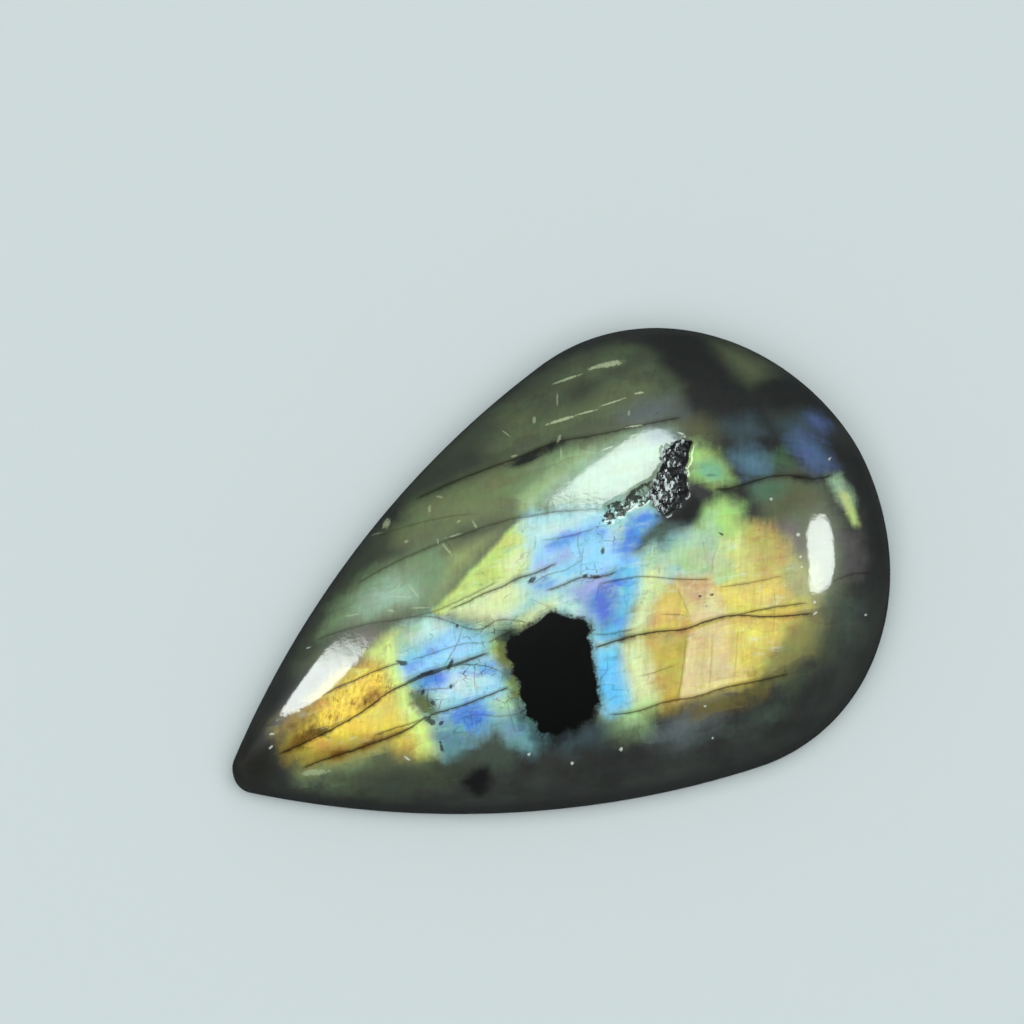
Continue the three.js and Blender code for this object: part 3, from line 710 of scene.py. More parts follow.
# Cracks, drawn from left to right: points in mm, width of the line in mm, how dark it is
cracks = [
    ([(-16.6, -0.35), (-15.0, -0.6), (-12.0, -0.8), (-9.6, -0.6), (-8.6, -0.7), (-6.5, -1.05),
      (-4.2, -1.4)], 0.07, 0.9),
    ([(-15.8, -1.6), (-14.2, -1.95), (-12.0, -2.45), (-10.0, -2.75), (-8.6, -2.75), (-6.9, -3.1),
      (-4.0, -3.5)], 0.06, 0.85),
    ([(-9.1, -0.62), (-8.2, -0.68), (-7.0, -0.88), (-6.0, -1.1), (-5.2, -1.25), (-4.2, -1.45)], 0.13, 0.8),
    ([(-11.8, -2.15), (-10.6, -2.35), (-9.6, -2.6), (-8.7, -2.7)], 0.05, 0.7),
    ([(-13.2, 1.05), (-12.2, 1.05), (-11.2, 0.9), (-9.6, 0.7), (-8.4, 0.4)], 0.055, 0.75),
    ([(-12.0, 4.1), (-9.5, 3.4), (-7.6, 2.6), (-6.0, 2.05), (-4.4, 1.85), (-2.0, 1.72)], 0.06, 0.5),
    ([(-5.2, 1.65), (-3.9, 1.55), (-3.0, 1.5), (-2.0, 1.35), (-1.2, 1.35), (-0.2, 1.15),
      (1.2, 1.05)], 0.075, 0.75),
    ([(-7.0, 2.3), (-5.9, 1.7), (-5.2, 0.9), (-4.2, -0.05), (-3.0, -0.15), (-2.3, -0.6),
      (-1.7, -1.15)], 0.05, 0.5),
    ([(-8.7, 5.7), (-5.5, 5.5), (-2.5, 5.0), (0.0, 4.45), (1.2, 4.0), (2.4, 3.55), (3.5, 3.0),
      (4.6, 2.4)], 0.07, 0.5),
    ([(-3.7, 8.4), (-0.5, 7.9), (2.0, 7.4), (4.5, 7.0), (6.2, 6.35), (8.7, 5.6), (10.8, 5.0)], 0.09, 0.7),
    ([(-0.3, 0.05), (0.5, -0.1), (1.9, -0.3), (2.4, -0.6), (3.8, -0.9)], 0.07, 0.7),
    ([(2.3, -1.0), (3.2, -1.25), (4.6, -1.75), (6.2, -2.75), (7.2, -3.3), (7.9, -3.6)], 0.055, 0.6),
    ([(0.5, -3.8), (1.2, -3.95), (2.4, -4.2), (3.8, -4.6), (5.4, -5.25), (6.5, -5.4), (8.0, -5.8),
      (9.3, -6.5), (10.6, -7.05), (12.0, -7.5)], 0.08, 0.9),
    ([(7.8, -5.75), (9.0, -6.05), (10.3, -6.4), (12.0, -6.95)], 0.055, 0.75),
    ([(0.7, -3.0), (1.4, -3.45), (2.2, -3.75), (3.2, -4.0)], 0.05, 0.45),
    ([(-0.4, -7.1), (1.2, -7.7), (2.8, -8.0), (4.2, -8.45), (6.0, -8.8), (7.2, -9.15),
      (9.4, -9.65)], 0.075, 0.7),
    ([(10.1, 0.7), (11.0, 0.3), (12.5, 0.05), (13.8, -0.25), (14.8, -0.8), (15.4, -1.15),
      (16.6, -1.25)], 0.1, 0.75),
    ([(10.05, 1.6), (10.4, 1.4), (10.9, 1.2)], 0.06, 0.6),
    ([(-6.9, -0.95), (-6.1, -0.5), (-5.3, 0.05), (-4.8, 0.6)], 0.04, 0.5),
    ([(-6.3, -1.0), (-5.4, -1.5), (-4.6, -2.1), (-4.0, -2.9)], 0.05, 0.55),
    ([(-8.8, -1.25), (-7.6, -1.7), (-6.9, -2.0), (-6.2, -1.7)], 0.04, 0.45),
    ([(-8.2, 0.35), (-7.2, 0.1), (-6.2, -0.1), (-5.2, -0.35), (-4.2, -0.9)], 0.035, 0.45),
    ([(-4.3, -0.9), (-3.4, -0.95), (-2.4, -1.0)], 0.05, 0.55),
    ([(-7.4, -3.6), (-6.4, -3.9), (-5.2, -4.6), (-4.1, -5.0)], 0.04, 0.35),
    ([(0.8, 2.6), (1.8, 2.2), (2.8, 1.9), (3.9, 1.75)], 0.04, 0.45),
    ([(-0.9, 0.6), (0.2, 0.75), (1.4, 0.5), (2.6, 0.65)], 0.03, 0.4),
    ([(4.4, -3.9), (5.2, -4.3), (5.9, -4.8)], 0.04, 0.4),
    ([(7.8, -4.1), (9.0, -4.5), (10.2, -4.85), (11.4, -5.1)], 0.045, 0.45),
    ([(2.0, -6.2), (3.0, -6.45), (4.2, -6.6)], 0.035, 0.4),
    ([(-6.4, 7.7), (-4.6, 7.1), (-3.0, 6.5), (-1.2, 5.6)], 0.05, 0.3),
    ([(12.6, -6.7), (14.2, -6.4), (16.2, -6.8)], 0.05, 0.5),
]

# Cracks that climb, drawn from the lowest point up
steepCracks = [
    ([(3.25, -8.35), (3.9, -7.5), (4.7, -6.4), (5.35, -5.5)], 0.05, 0.3),
    ([(7.95, -3.5), (8.3, -2.8), (8.8, -2.3), (9.3, -1.9)], 0.04, 0.25),
    ([(5.85, -5.0), (5.95, -4.0), (6.0, -3.0)], 0.04, 0.25),
    ([(2.3, 0.4), (2.5, 1.4), (3.2, 2.3)], 0.03, 0.35),
    ([(-5.9, -2.9), (-5.6, -2.2), (-5.0, -1.4)], 0.03, 0.4),
    ([(-8.4, -2.6), (-8.25, -1.9), (-7.7, -1.2)], 0.04, 0.5),
    ([(9.3, -7.6), (10.0, -6.6), (10.6, -5.4)], 0.035, 0.2),
    ([(5.0, -8.6), (5.9, -7.2), (6.6, -5.9)], 0.05, 0.22),
    ([(6.4, -8.8), (7.3, -7.4), (8.0, -6.2)], 0.05, 0.18),
    ([(-5.0, -5.9), (-4.85, -4.9), (-4.6, -3.9)], 0.035, 0.3),
    ([(-6.95, -4.6), (-6.7, -3.9), (-6.6, -3.3)], 0.03, 0.25),
    ([(1.6, -0.6), (2.1, 0.3), (2.9, 1.3)], 0.03, 0.3),
    ([(-3.6, 4.2), (-3.4, 4.9), (-3.75, 5.6)], 0.04, 0.3),
]

# Small marks: centre x, y, half length, half width, tilt in degrees
darkMarks = [
    (-8.55, 0.42, 0.3, 0.13, -50), (-8.65, -3.0, 0.34, 0.17, -62), (-8.2, -3.35, 0.14, 0.1, 0),
    (-8.75, -4.4, 0.26, 0.09, 80), (-6.35, -0.92, 0.36, 0.1, 38), (-7.7, -0.72, 0.6, 0.1, -8),
    (2.05, -0.28, 0.17, 0.1, 0), (2.5, -0.6, 0.26, 0.09, -35), (-0.5, 0.9, 0.24, 0.15, 20),
    (3.5, 0.45, 0.2, 0.1, 50), (9.4, -1.7, 0.15, 0.05, -60), (6.85, -4.1, 0.09, 0.07, 0),
    (7.45, -4.3, 0.1, 0.07, 0), (-6.9, -1.95, 0.14, 0.08, 60), (-5.1, 0.7, 0.12, 0.08, 0),
    (2.35, 7.0, 0.9, 0.14, -8), (-8.3, -1.5, 0.16, 0.1, 40), (-8.1, -2.25, 0.12, 0.16, 0),
]
# painted glints: pale strokes where cleavage planes catch the light
cleavageGlints = [
    (5.1, 8.12, 0.75, 0.09, -14), (6.4, 7.82, 0.6, 0.05, -16), (8.9, 9.85, 0.75, 0.17, -20),
    (7.9, 7.62, 0.7, 0.045, -10), (9.4, 7.4, 0.25, 0.06, -20), (8.2, 5.78, 0.45, 0.045, -20),
    (6.6, 10.25, 0.7, 0.08, -12), (8.1, 10.1, 0.3, 0.1, -14), (-5.55, 8.1, 0.3, 0.2, 50),
]
# pale marks: some are painted cleavage glints, the rest pale threads in the stone
paleMarks = [
    (8.35, 6.6, 0.18, 0.07, 55), (4.45, 7.2, 0.22, 0.08, 40), (4.15, 6.4, 0.3, 0.05, 62),
    (3.9, 8.95, 0.22, 0.1, 60), (5.5, 9.35, 0.4, 0.05, 62), (1.95, 7.6, 0.16, 0.08, -20),
    (-3.3, 7.35, 0.26, 0.08, 55), (-5.2, 6.35, 0.12, 0.09, 0), (-3.8, 5.4, 0.16, 0.05, 70),
    (-3.6, 4.7, 0.45, 0.06, 98), (-2.9, 5.2, 0.42, 0.05, -14), (-2.35, 5.8, 0.12, 0.07, 0),
    (-1.7, 5.15, 0.26, 0.06, 88), (-7.75, 3.25, 0.2, 0.07, -40), (-6.8, 4.25, 0.3, 0.05, 25),
    (-6.2, 3.6, 0.5, 0.06, 95), (-7.0, 3.7, 0.6, 0.06, -35), (2.25, 9.1, 0.3, 0.04, 105),
    (-6.4, 2.6, 0.45, 0.05, -30), (-9.6, 4.2, 0.4, 0.05, -25), (-6.3, 7.9, 0.35, 0.05, -35),
    (-2.5, 7.7, 0.2, 0.06, -50), (-15.2, -2.15, 0.7, 0.14, -25),
]
# painted glints: small white sparkles where tiny pits and chips catch the light
sparkleGlints = [
    (-3.0, -8.3, 0.08, 0.07, 0), (-0.4, -8.9, 0.09, 0.08, 0), (4.2, -10.6, 0.07, 0.06, 0),
    (-4.85, -6.9, 0.08, 0.07, 0), (12.7, -1.2, 0.09, 0.08, 0), (-16.25, 0.75, 0.14, 0.06, -30),
    (-16.6, 0.15, 0.12, 0.06, 10), (-10.6, -4.0, 0.16, 0.05, -60), (10.2, 4.2, 0.2, 0.05, -50),
    (13.1, -3.5, 0.11, 0.09, 10), (12.0, -7.5, 0.14, 0.05, 10), (12.2, -7.0, 0.09, 0.07, 0),
    (12.65, -4.6, 0.08, 0.06, 40), (12.45, -5.1, 0.06, 0.05, 0), (12.3, -6.4, 0.08, 0.05, -30),
    (16.75, -0.4, 0.12, 0.06, 30), (14.6, -8.5, 0.08, 0.06, 0), (6.4, 5.35, 0.3, 0.05, -8),
    (4.5, -9.1, 0.06, 0.05, 0), (-12.4, 3.95, 0.14, 0.04, -20),
]


def writeAttribute(mesh, name, values):
    layer = mesh.attributes.new(name, "FLOAT", "POINT")
    layer.data.foreach_set("value", values.astype(np.float32))


def markStone(piece):
    mesh = piece.data
    count = len(mesh.vertices)
    places = np.empty(count * 3, np.float32)
    mesh.vertices.foreach_get("co", places)
    places = places.reshape(-1, 3).astype(float) / mm
    x, y, z = places.T
    mesh.shade_smooth()
    reaches = sinkHollows(mesh, x, y, z)
    mesh.vertices.foreach_set("co", (np.column_stack((x, y, z)) * mm).astype(np.float32).ravel())
    mesh.set_sharp_from_angle(angle=math.radians(stone["sharpAngle"]))
    reaches["inclusion"] = signedDistance(x, y, inclusion)
    for name, *_, patches in tones:
        reaches[name] = np.max([signedDistance(x, y, patch) for patch in patches], axis=0)
    reaches["net"] = np.max([signedDistance(x, y, zone) for zone in netZones], axis=0)
    reaches["flash"] = np.max([reaches[name] for name in flashTones], axis=0)
    for name, inside in reaches.items():
        writeAttribute(mesh, name, inside)
    mesh.update()


# Shader groups

planSpan = stone["length"] / mm + 2   # mm that a crack's curve is laid over
brush = {
    "toneEdge": 1.35,           # how far a tone's edge fades either way, in softnesses
    "stray": 0.07,              # mm that a crack strays from its curve
    "lineFade": 0.5,            # mm over which its ends fade
    "unrestReach": 1.2,
    "thinnest": 0.3,            # its width changes between these two
    "widest": 1.6,
    "lineCore": 0.25,           # the part of its width that is fully dark
    "halo": 3.0,                # how many widths its halo reaches
    "speckCrumble": 0.9,
    "speckEdge": (1.3, 0.6),    # where an oval's edge starts and ends, from its middle
}


def buildToneLayer():
    tree, given, result = newGroup("toneLayer", "ShaderNodeTree", [
        ("Below", "NodeSocketColor"), ("Tone", "NodeSocketColor"), ("Inside", "NodeSocketFloat"),
        ("Unrest", "NodeSocketFloat"), ("Wander", "NodeSocketFloat"), ("Soft", "NodeSocketFloat"),
    ], [("Colour", "NodeSocketColor")])
    moved = reckon(tree, "MULTIPLY_ADD", given["Unrest"], given["Wander"], given["Inside"])
    inner = reckon(tree, "MULTIPLY", given["Soft"], brush["toneEdge"])
    outer = reckon(tree, "MULTIPLY", given["Soft"], -brush["toneEdge"])
    amount = ramp(tree, moved, outer, inner)
    feed(tree, result["Colour"], blendColour(tree, given["Below"], given["Tone"], amount))
    return tree


def buildHairline():
    # a thin line that follows a curve's height, fading out at both ends
    tree, given, result = newGroup("hairline", "ShaderNodeTree", [
        ("Along", "NodeSocketFloat"), ("Across", "NodeSocketFloat"), ("Curve", "NodeSocketFloat"),
        ("Unrest", "NodeSocketFloat"), ("Start", "NodeSocketFloat"), ("End", "NodeSocketFloat"),
        ("Width", "NodeSocketFloat"), ("Depth", "NodeSocketFloat"),
    ], [("Line", "NodeSocketFloat"), ("Halo", "NodeSocketFloat")])
    height = reckon(tree, "MULTIPLY_ADD", given["Curve"], planSpan, -planSpan / 2)
    offset = reckon(tree, "SUBTRACT", given["Across"], height)
    offset = reckon(tree, "MULTIPLY_ADD", given["Unrest"], brush["stray"], offset)
    offset = reckon(tree, "ABSOLUTE", offset)
    faded = reckon(tree, "ADD", given["Start"], brush["lineFade"])
    fadeIn = ramp(tree, given["Along"], given["Start"], faded)
    faded = reckon(tree, "SUBTRACT", given["End"], brush["lineFade"])
    fadeOut = ramp(tree, given["Along"], given["End"], faded)
    ends = reckon(tree, "MULTIPLY", reckon(tree, "MULTIPLY", fadeIn, fadeOut), given["Depth"])
    reach = brush["unrestReach"]
    uneven = ramp(tree, given["Unrest"], -reach, reach, brush["thinnest"], brush["widest"])
    width = reckon(tree, "MULTIPLY", given["Width"], uneven)
    line = ramp(tree, offset, width, reckon(tree, "MULTIPLY", width, brush["lineCore"]))
    halo = ramp(tree, offset, reckon(tree, "MULTIPLY", width, brush["halo"]), width)
    feed(tree, result["Line"], reckon(tree, "MULTIPLY", line, ends))
    feed(tree, result["Halo"], reckon(tree, "MULTIPLY", halo, ends))
    return tree


def buildSpeck():
    # a small soft-edged oval; each axis vector runs along the oval, one over its half size long
    tree, given, result = newGroup("speck", "ShaderNodeTree", [
        ("Plan", "NodeSocketVector"), ("Centre", "NodeSocketVector"), ("Long Axis", "NodeSocketVector"),
        ("Short Axis", "NodeSocketVector"), ("Unrest", "NodeSocketFloat"), ("Others", "NodeSocketFloat"),
    ], [("Mask", "NodeSocketFloat")])

    def vectorStep(operation, first, second):
        return put(tree, "ShaderNodeVectorMath", {0: first, 1: second}, operation=operation).outputs

    local = vectorStep("SUBTRACT", given["Plan"], given["Centre"])[0]
    along = vectorStep("DOT_PRODUCT", local, given["Long Axis"])["Value"]
    across = vectorStep("DOT_PRODUCT", local, given["Short Axis"])["Value"]
    square = reckon(tree, "MULTIPLY_ADD", along, along, reckon(tree, "MULTIPLY", across, across))
    radius = reckon(tree, "SQRT", square)
    radius = reckon(tree, "MULTIPLY_ADD", given["Unrest"], brush["speckCrumble"], radius)
    spot = ramp(tree, radius, *brush["speckEdge"])
    feed(tree, result["Mask"], reckon(tree, "MAXIMUM", spot, given["Others"]))
    return tree


def pinCurve(tree, along, points):
    # how far aside a line lies, from 0 to 1 over the span
    node = tree.nodes.new("ShaderNodeFloatCurve")
    feed(tree, node.inputs["Value"], along)
    curve = node.mapping.curves[0]
    placed = [(run / planSpan + 0.5, aside / planSpan + 0.5) for run, aside in points]
    curve.points[0].location = placed[0]
    curve.points[1].location = placed[-1]
    for x, y in placed[1:-1]:
        curve.points.new(x, y)
    for point in curve.points:
        point.handle_type = "AUTO"
    node.mapping.update()
    return node.outputs[0]


surface = {
    "body": paint(48, 50, 48),
    "bodyLight": paint(63, 67, 62),
    "crackTone": paint(84, 80, 74),     # what a crack leaves of the tone under it
    "haloTone": paint(176, 158, 120),
    "milkTone": paint(222, 244, 232),
    "murkWarm": paint(206, 188, 136),
    "murkCool": paint(128, 156, 172),
    "inclusionTone": paint(7, 7, 7),
    "inclusionGrey": paint(26, 25, 25),
    "smudgeTone": paint(92, 94, 84),
    "hollowTone": paint(26, 27, 28),
    "hollowGreyAndGlint": paint(104, 112, 112),
    "glintTone": paint(206, 220, 218),
    "chipTone": paint(44, 52, 44),
    "wrinkleTone": paint(172, 124, 60),
    "netTone": paint(74, 84, 62),
    "glintAndThreadTone": paint(196, 210, 168),
    "sparkleTone": paint(216, 226, 214),
    "darkMarkTone": paint(26, 32, 28),
    "groundTone": paint(92, 98, 92),
    "groundDark": paint(66, 70, 66),
    "cloudContrast": 0.9,
    "stillCloud": 0.08,     # how much the hue drifts outside the flash
    "flashCloud": 0.2,      # and how much inside it
    "milkAmount": 0.34,
    "murkAmount": 0.36,
    "mottle": 0.16,
    "goldMottle": 0.8,
    "stillStreaks": 0.12,   # steep streaks outside the flash
    "flashStreaks": 0.1,    # and how much stronger they are inside it
    "shallowStreaks": 0.1,
    "saturation": 1.05,
    "threadDepth": 0.3,
    "baseRoughness": 0.34,
    "hollowRoughness": 0.3,
    "groundRoughness": 0.68,
    "smoother": 0.04,       # how far the roughness falls and rises with the mottle
    "rougher": 0.06,
    "blockTilt": -17,       # blocks of one light and hue, longer than wide
    "blockSize": (1.7, 0.7, 1.0),
    "blockDisorder": 0.7,
    "blockUnrest": 0.45,
    "steepUnrest": 0.45,
    "patchyLight": 0.1,
    "patchyHue": 0.024,
    "blockLight": 0.06,
    "blockHue": 0.018,
    "netTilt": -20,
    "netCell": (0.62, 0.36, 1.0),
    "netStray": 0.03,
    "netZoneStray": 0.35,
    "fleckScale": 1.7,
    "fleckShare": 0.75,     # the share of the flecks that doesn't show
    "fleckSize": 0.11,
    "wrinkleDepth": 0.75,
    "netDepth": 0.75,
    "haloDepth": 0.55,
    "fleckDepth": 0.35,
    "darkMarkDepth": 0.85,
    "cleavageGlintDepth": 0.7,
    "paleDepth": 0.42,
    "sparkleDepth": 0.7,
    "sideShadeDepth": 0.85,
    "smudgeDepth": 0.7,
    "speckleDepth": 0.75,
    "inclusionWander": 0.05,
    "inclusionRagged": 0.07,
    "marginLeft": 0.35,     # how much wider the smudge is on its left
    "marginStray": 0.3,
    "speckleReach": 0.5,
    "litTurn": -0.7,        # the hollow is lit on its upper left
    "litGlints": 0.13,
    "hollowBare": 0.7,      # how much of the polish is missing
    "chipBare": 0.8,
    "reliefHeight": 1.6,
    "reliefStrength": 0.5,
    "reliefDepth": 0.05 * mm,
    "rippleShare": 0.45,
    "fineRippleShare": 0.22,
    "rippleStrength": 0.4,
    "rippleDepth": 0.02 * mm,
}

# Noises on the plan of the stone: scale per mm, detail, roughness, tilt in degrees, stretch and
# the place where each is cut
even = (1.0, 1.0, 1.0)
grains = {
    "wander": (0.9, 5.0, 0.66, 0, even, 0.0),
    "steep": (2.4, 4.0, 0.65, 62, (4.5, 0.55, 1.0), 0.0),
    "fineUnrest": (2.6, 4.0, 0.65, 0, even, 4.0),
    "bodyCloud": (0.28, 3.0, 0.6, 0, even, 11.0),
    "flashCloud": (1.1, 4.0, 0.62, -17, (1.5, 0.9, 1.0), 9.0),
    "milk": (1.3, 5.0, 0.7, -17, (2.6, 0.7, 1.0), 19.0),
    "murk": (1.5, 5.0, 0.75, -17, (1.9, 0.8, 1.0), 23.0),
    "shallow": (2.0, 3.0, 0.6, -17, (5.0, 0.5, 1.0), 7.0),
    "mottle": (3.6, 5.0, 0.74, 50, (1.6, 0.8, 1.0), 2.0),
    "patchy": (1.1, 4.0, 0.62, 0, even, 15.0),
    "bands": (0.85, 3.0, 0.6, 57, (4.0, 0.6, 1.0), 91.0),
    "wrinkles": (2.6, 5.0, 0.78, 50, (1.5, 0.9, 1.0), 95.0),
    "netPatch": (1.6, 4.0, 0.7, 0, even, 99.0),
    "shallowThread": (0.42, 2.5, 0.55, -17, (3.0, 0.8, 1.0), 27.0),
    "shallowThreadZone": (0.8, 3.0, 0.6, 0, even, 30.0),
    "steepThread": (0.36, 2.5, 0.55, 58, (3.0, 0.8, 1.0), 45.0),
    "steepThreadZone": (0.8, 3.0, 0.6, 0, even, 48.0),
    "crumb": (6.5, 4.0, 0.7, 0, even, 61.0),
    "speckle": (4.6, 4.0, 0.75, 0, even, 51.0),
    "inclusionGrey": (1.2, 4.0, 0.7, 0, even, 5.0),
    "grit": (3.4, 4.0, 0.7, 0, even, 3.0),
    "crystal": (3.0, 4.0, 0.68, 58, (1.5, 0.75, 1.0), 71.0),
    "sawn": (1.6, 4.0, 0.7, 24, (2.4, 1.0, 1.0), 17.0),
    "coarse": (7.0, 3.0, 0.7, 0, even, 13.0),
    "ripple": (2.2, 2.0, 0.55, 0, even, 41.0),
    "wideRipple": (0.35, 1.0, 0.5, 0, even, 37.0),
    "fineRipple": (5.0, 2.0, 0.6, -24, (2.2, 0.8, 1.0), 81.0),
}

# How far the noises that swing about zero go
gains = {
    "wander": 2.8, "blockStep": 1.3, "steep": 2.0, "fineUnrest": 2.4, "shallow": 2.0, "mottle": 2.0,
    "patchy": 2.4, "bands": 0.5, "crumb": 3.0, "speckle": 3.0,
}

# Where each mask starts and where it is full: in mm on the stone or inside an outline, or as a
# noise's value or the upward part of the normal
spans = {
    "bodyCloud": (0.35, 0.7),
    "flash": (-0.6, 0.6),
    "milk": (0.55, 0.72),
    "warmBelow": (0.0, -2.0),
    "warmGold": (-0.3, 0.2),
    "warmGlow": (-0.3, 0.3),
    "murk": (0.54, 0.68),
    "crinkledGold": (-0.2, 0.3),
    "crinkledAbove": (-1.3, -0.3),
    "gold": (-0.4, 0.4),
    "offGold": (0.2, -0.8),
    "wrinkles": (0.54, 0.66),
    "netLine": (0.09, 0.02),
    "netZone": (-0.1, 0.4),
    "netPatch": (0.42, 0.6),
    "thread": (0.008, 0.002),
    "threadZone": (0.47, 0.6),
    "upper": (1.2, 1.6),
    "steepSideShade": (0.42, 0.12),
    "inclusion": (-0.04, 0.08),
    "inclusionGrey": (0.56, 0.75),
    "leftSide": (-1.2, -3.4),
    "smudge": (-0.5, 0.1),
    "speckles": (-0.12, 0.02),
    "hollow": (-0.06, 0.02),
    "hollowGreyAndGlint": (0.55, 0.7),
    "hollowLit": (8.4, 6.0),
    "glint": (0.62, 0.67),
    "groove": (-0.02, 0.08),
    "chips": (0.55, 0.49),
    "ground": (-0.05, -0.3),
    "sawn": (0.3, 0.75),
    "mottle": (0.3, 0.7),
}


def buildLabradorite():
    material = bpy.data.materials.new("polishedLabradorite")
    material.use_nodes = True
    tree = material.node_tree
    tree.nodes.clear()
    coordinates = put(tree, "ShaderNodeTexCoord").outputs["Object"]
    plan = put(tree, "ShaderNodeMapping", {
        "Vector": coordinates, "Scale": (1 / mm, 1 / mm, 1 / mm)}).outputs[0]
    split = put(tree, "ShaderNodeSeparateXYZ", {0: plan}).outputs
    alongX, acrossY = split[0], split[1]
    flatPlan = put(tree, "ShaderNodeCombineXYZ", {0: alongX, 1: acrossY}).outputs[0]

    def grain(name):
        scale, detail, roughness, tilt, stretch, offset = grains[name]
        turned = put(tree, "ShaderNodeMapping", {
            "Vector": plan, "Location": (offset, offset, 0.0),
            "Rotation": (0.0, 0.0, math.radians(tilt)), "Scale": stretch}, vector_type="TEXTURE")
        return put(tree, "ShaderNodeTexNoise", {
            "Vector": turned.outputs[0], "Scale": scale, "Detail": detail, "Roughness": roughness}).outputs

    def grainNoise(name):
        return grain(name)["Fac"]

    def centred(value, name):
        return reckon(tree, "MULTIPLY", reckon(tree, "SUBTRACT", value, 0.5), gains[name])

    def mask(value, name):
        return ramp(tree, value, *spans[name])

    def times(*values):
        product = values[0]
        for value in values[1:]:
            product = reckon(tree, "MULTIPLY", product, value)
        return product

    def attribute(name):
        return put(tree, "ShaderNodeAttribute", attribute_name=name).outputs["Fac"]

    # unrest moves every painted edge: a soft wander and a step from block to block
    wander = centred(grainNoise("wander"), "wander")
    blockPlan = put(tree, "ShaderNodeMapping", {
        "Vector": plan, "Rotation": (0.0, 0.0, math.radians(surface["blockTilt"])),
        "Scale": surface["blockSize"]}, vector_type="TEXTURE")
    blocks = put(tree, "ShaderNodeTexVoronoi", {
        "Vector": blockPlan.outputs[0], "Scale": 1.0, "Randomness": surface["blockDisorder"]},
        distance="CHEBYCHEV", voronoi_dimensions="2D")
    blockValue = put(tree, "ShaderNodeSeparateColor", {0: blocks.outputs["Color"]}).outputs[0]
    blockStep = centred(blockValue, "blockStep")
    steep = grainNoise("steep")
    unrest = reckon(tree, "MULTIPLY_ADD", blockStep, surface["blockUnrest"], wander)
    unrest = reckon(tree, "MULTIPLY_ADD", centred(steep, "steep"), surface["steepUnrest"], unrest)
    fineUnrest = centred(grainNoise("fineUnrest"), "fineUnrest")

    # body and painted tones
    cloud = mask(grainNoise("bodyCloud"), "bodyCloud")
    colour = blendColour(tree, surface["body"], surface["bodyLight"], cloud)
    layer = buildToneLayer()
    for name, tone, soft, strayed, _ in tones:
        colour = useGroup(tree, layer, Below=colour, Tone=tone, Inside=attribute(name),
                          Unrest=unrest, Wander=strayed, Soft=soft).outputs[0]

    # the painted flash, a labradorescent sheen, drifts in light and hue at several scales, with milky and
    # murky streaks in it
    cloudColour = put(tree, "ShaderNodeBrightContrast", {
        "Color": grain("flashCloud")["Color"],
        "Contrast": surface["cloudContrast"]}).outputs[0]
    flash = mask(attribute("flash"), "flash")
    cloudShare = reckon(tree, "MULTIPLY_ADD", flash, surface["flashCloud"] - surface["stillCloud"],
                        surface["stillCloud"])
    colour = blendColour(tree, colour, cloudColour, cloudShare, "OVERLAY")
    milk = mask(grainNoise("milk"), "milk")
    colour = blendColour(tree, colour, surface["milkTone"], times(milk, flash, surface["milkAmount"]))
    warm = mask(acrossY, "warmBelow")
    warm = reckon(tree, "MAXIMUM", mask(attribute("toneGold"), "warmGold"),
                  times(warm, mask(attribute("glowGold"), "warmGlow")))
    murkTone = blendColour(tree, surface["murkCool"], surface["murkWarm"], warm)
    murk = mask(grainNoise("murk"), "murk")
    colour = blendColour(tree, colour, murkTone, times(murk, flash, surface["murkAmount"]), "MULTIPLY")

    # lamellae: fine streaks in two directions, and a slight drift of hue from block to block
    shallow = grainNoise("shallow")
    mottle = grainNoise("mottle")
    patchy = centred(grainNoise("patchy"), "patchy")
    crinkled = times(mask(attribute("toneGold"), "crinkledGold"), mask(acrossY, "crinkledAbove"))
    rich = reckon(tree, "MULTIPLY_ADD", crinkled, surface["goldMottle"] - surface["mottle"],
                  surface["mottle"])
    brushed = reckon(tree, "MULTIPLY_ADD", flash, surface["flashStreaks"], surface["stillStreaks"])
    light = reckon(tree, "MULTIPLY_ADD", centred(steep, "steep"), brushed, 1.0)
    light = reckon(tree, "MULTIPLY_ADD", centred(shallow, "shallow"), surface["shallowStreaks"], light)
    light = reckon(tree, "MULTIPLY_ADD", centred(mottle, "mottle"), rich, light)
    light = reckon(tree, "MULTIPLY_ADD", patchy, surface["patchyLight"], light)
    light = reckon(tree, "MULTIPLY_ADD", blockStep, surface["blockLight"], light)
    hue = reckon(tree, "MULTIPLY_ADD", blockStep, surface["blockHue"], 0.5)
    hue = reckon(tree, "MULTIPLY_ADD", patchy, surface["patchyHue"], hue)
    colour = put(tree, "ShaderNodeHueSaturation", {
        "Hue": hue, "Saturation": surface["saturation"], "Value": light, "Color": colour}).outputs[0]

    # broad diagonal bands in the gold, and brown wrinkles in the crinkled part of it
    bands = centred(grainNoise("bands"), "bands")
    inGold = mask(attribute("glowGold"), "gold")
    bandTone = put(tree, "ShaderNodeHueSaturation", {
        "Value": reckon(tree, "MULTIPLY_ADD", bands, inGold, 1.0), "Color": colour}).outputs[0]
    wrinkles = times(mask(grainNoise("wrinkles"), "wrinkles"), crinkled, surface["wrinkleDepth"])
    colour = blendColour(tree, bandTone, surface["wrinkleTone"], wrinkles, "MULTIPLY")

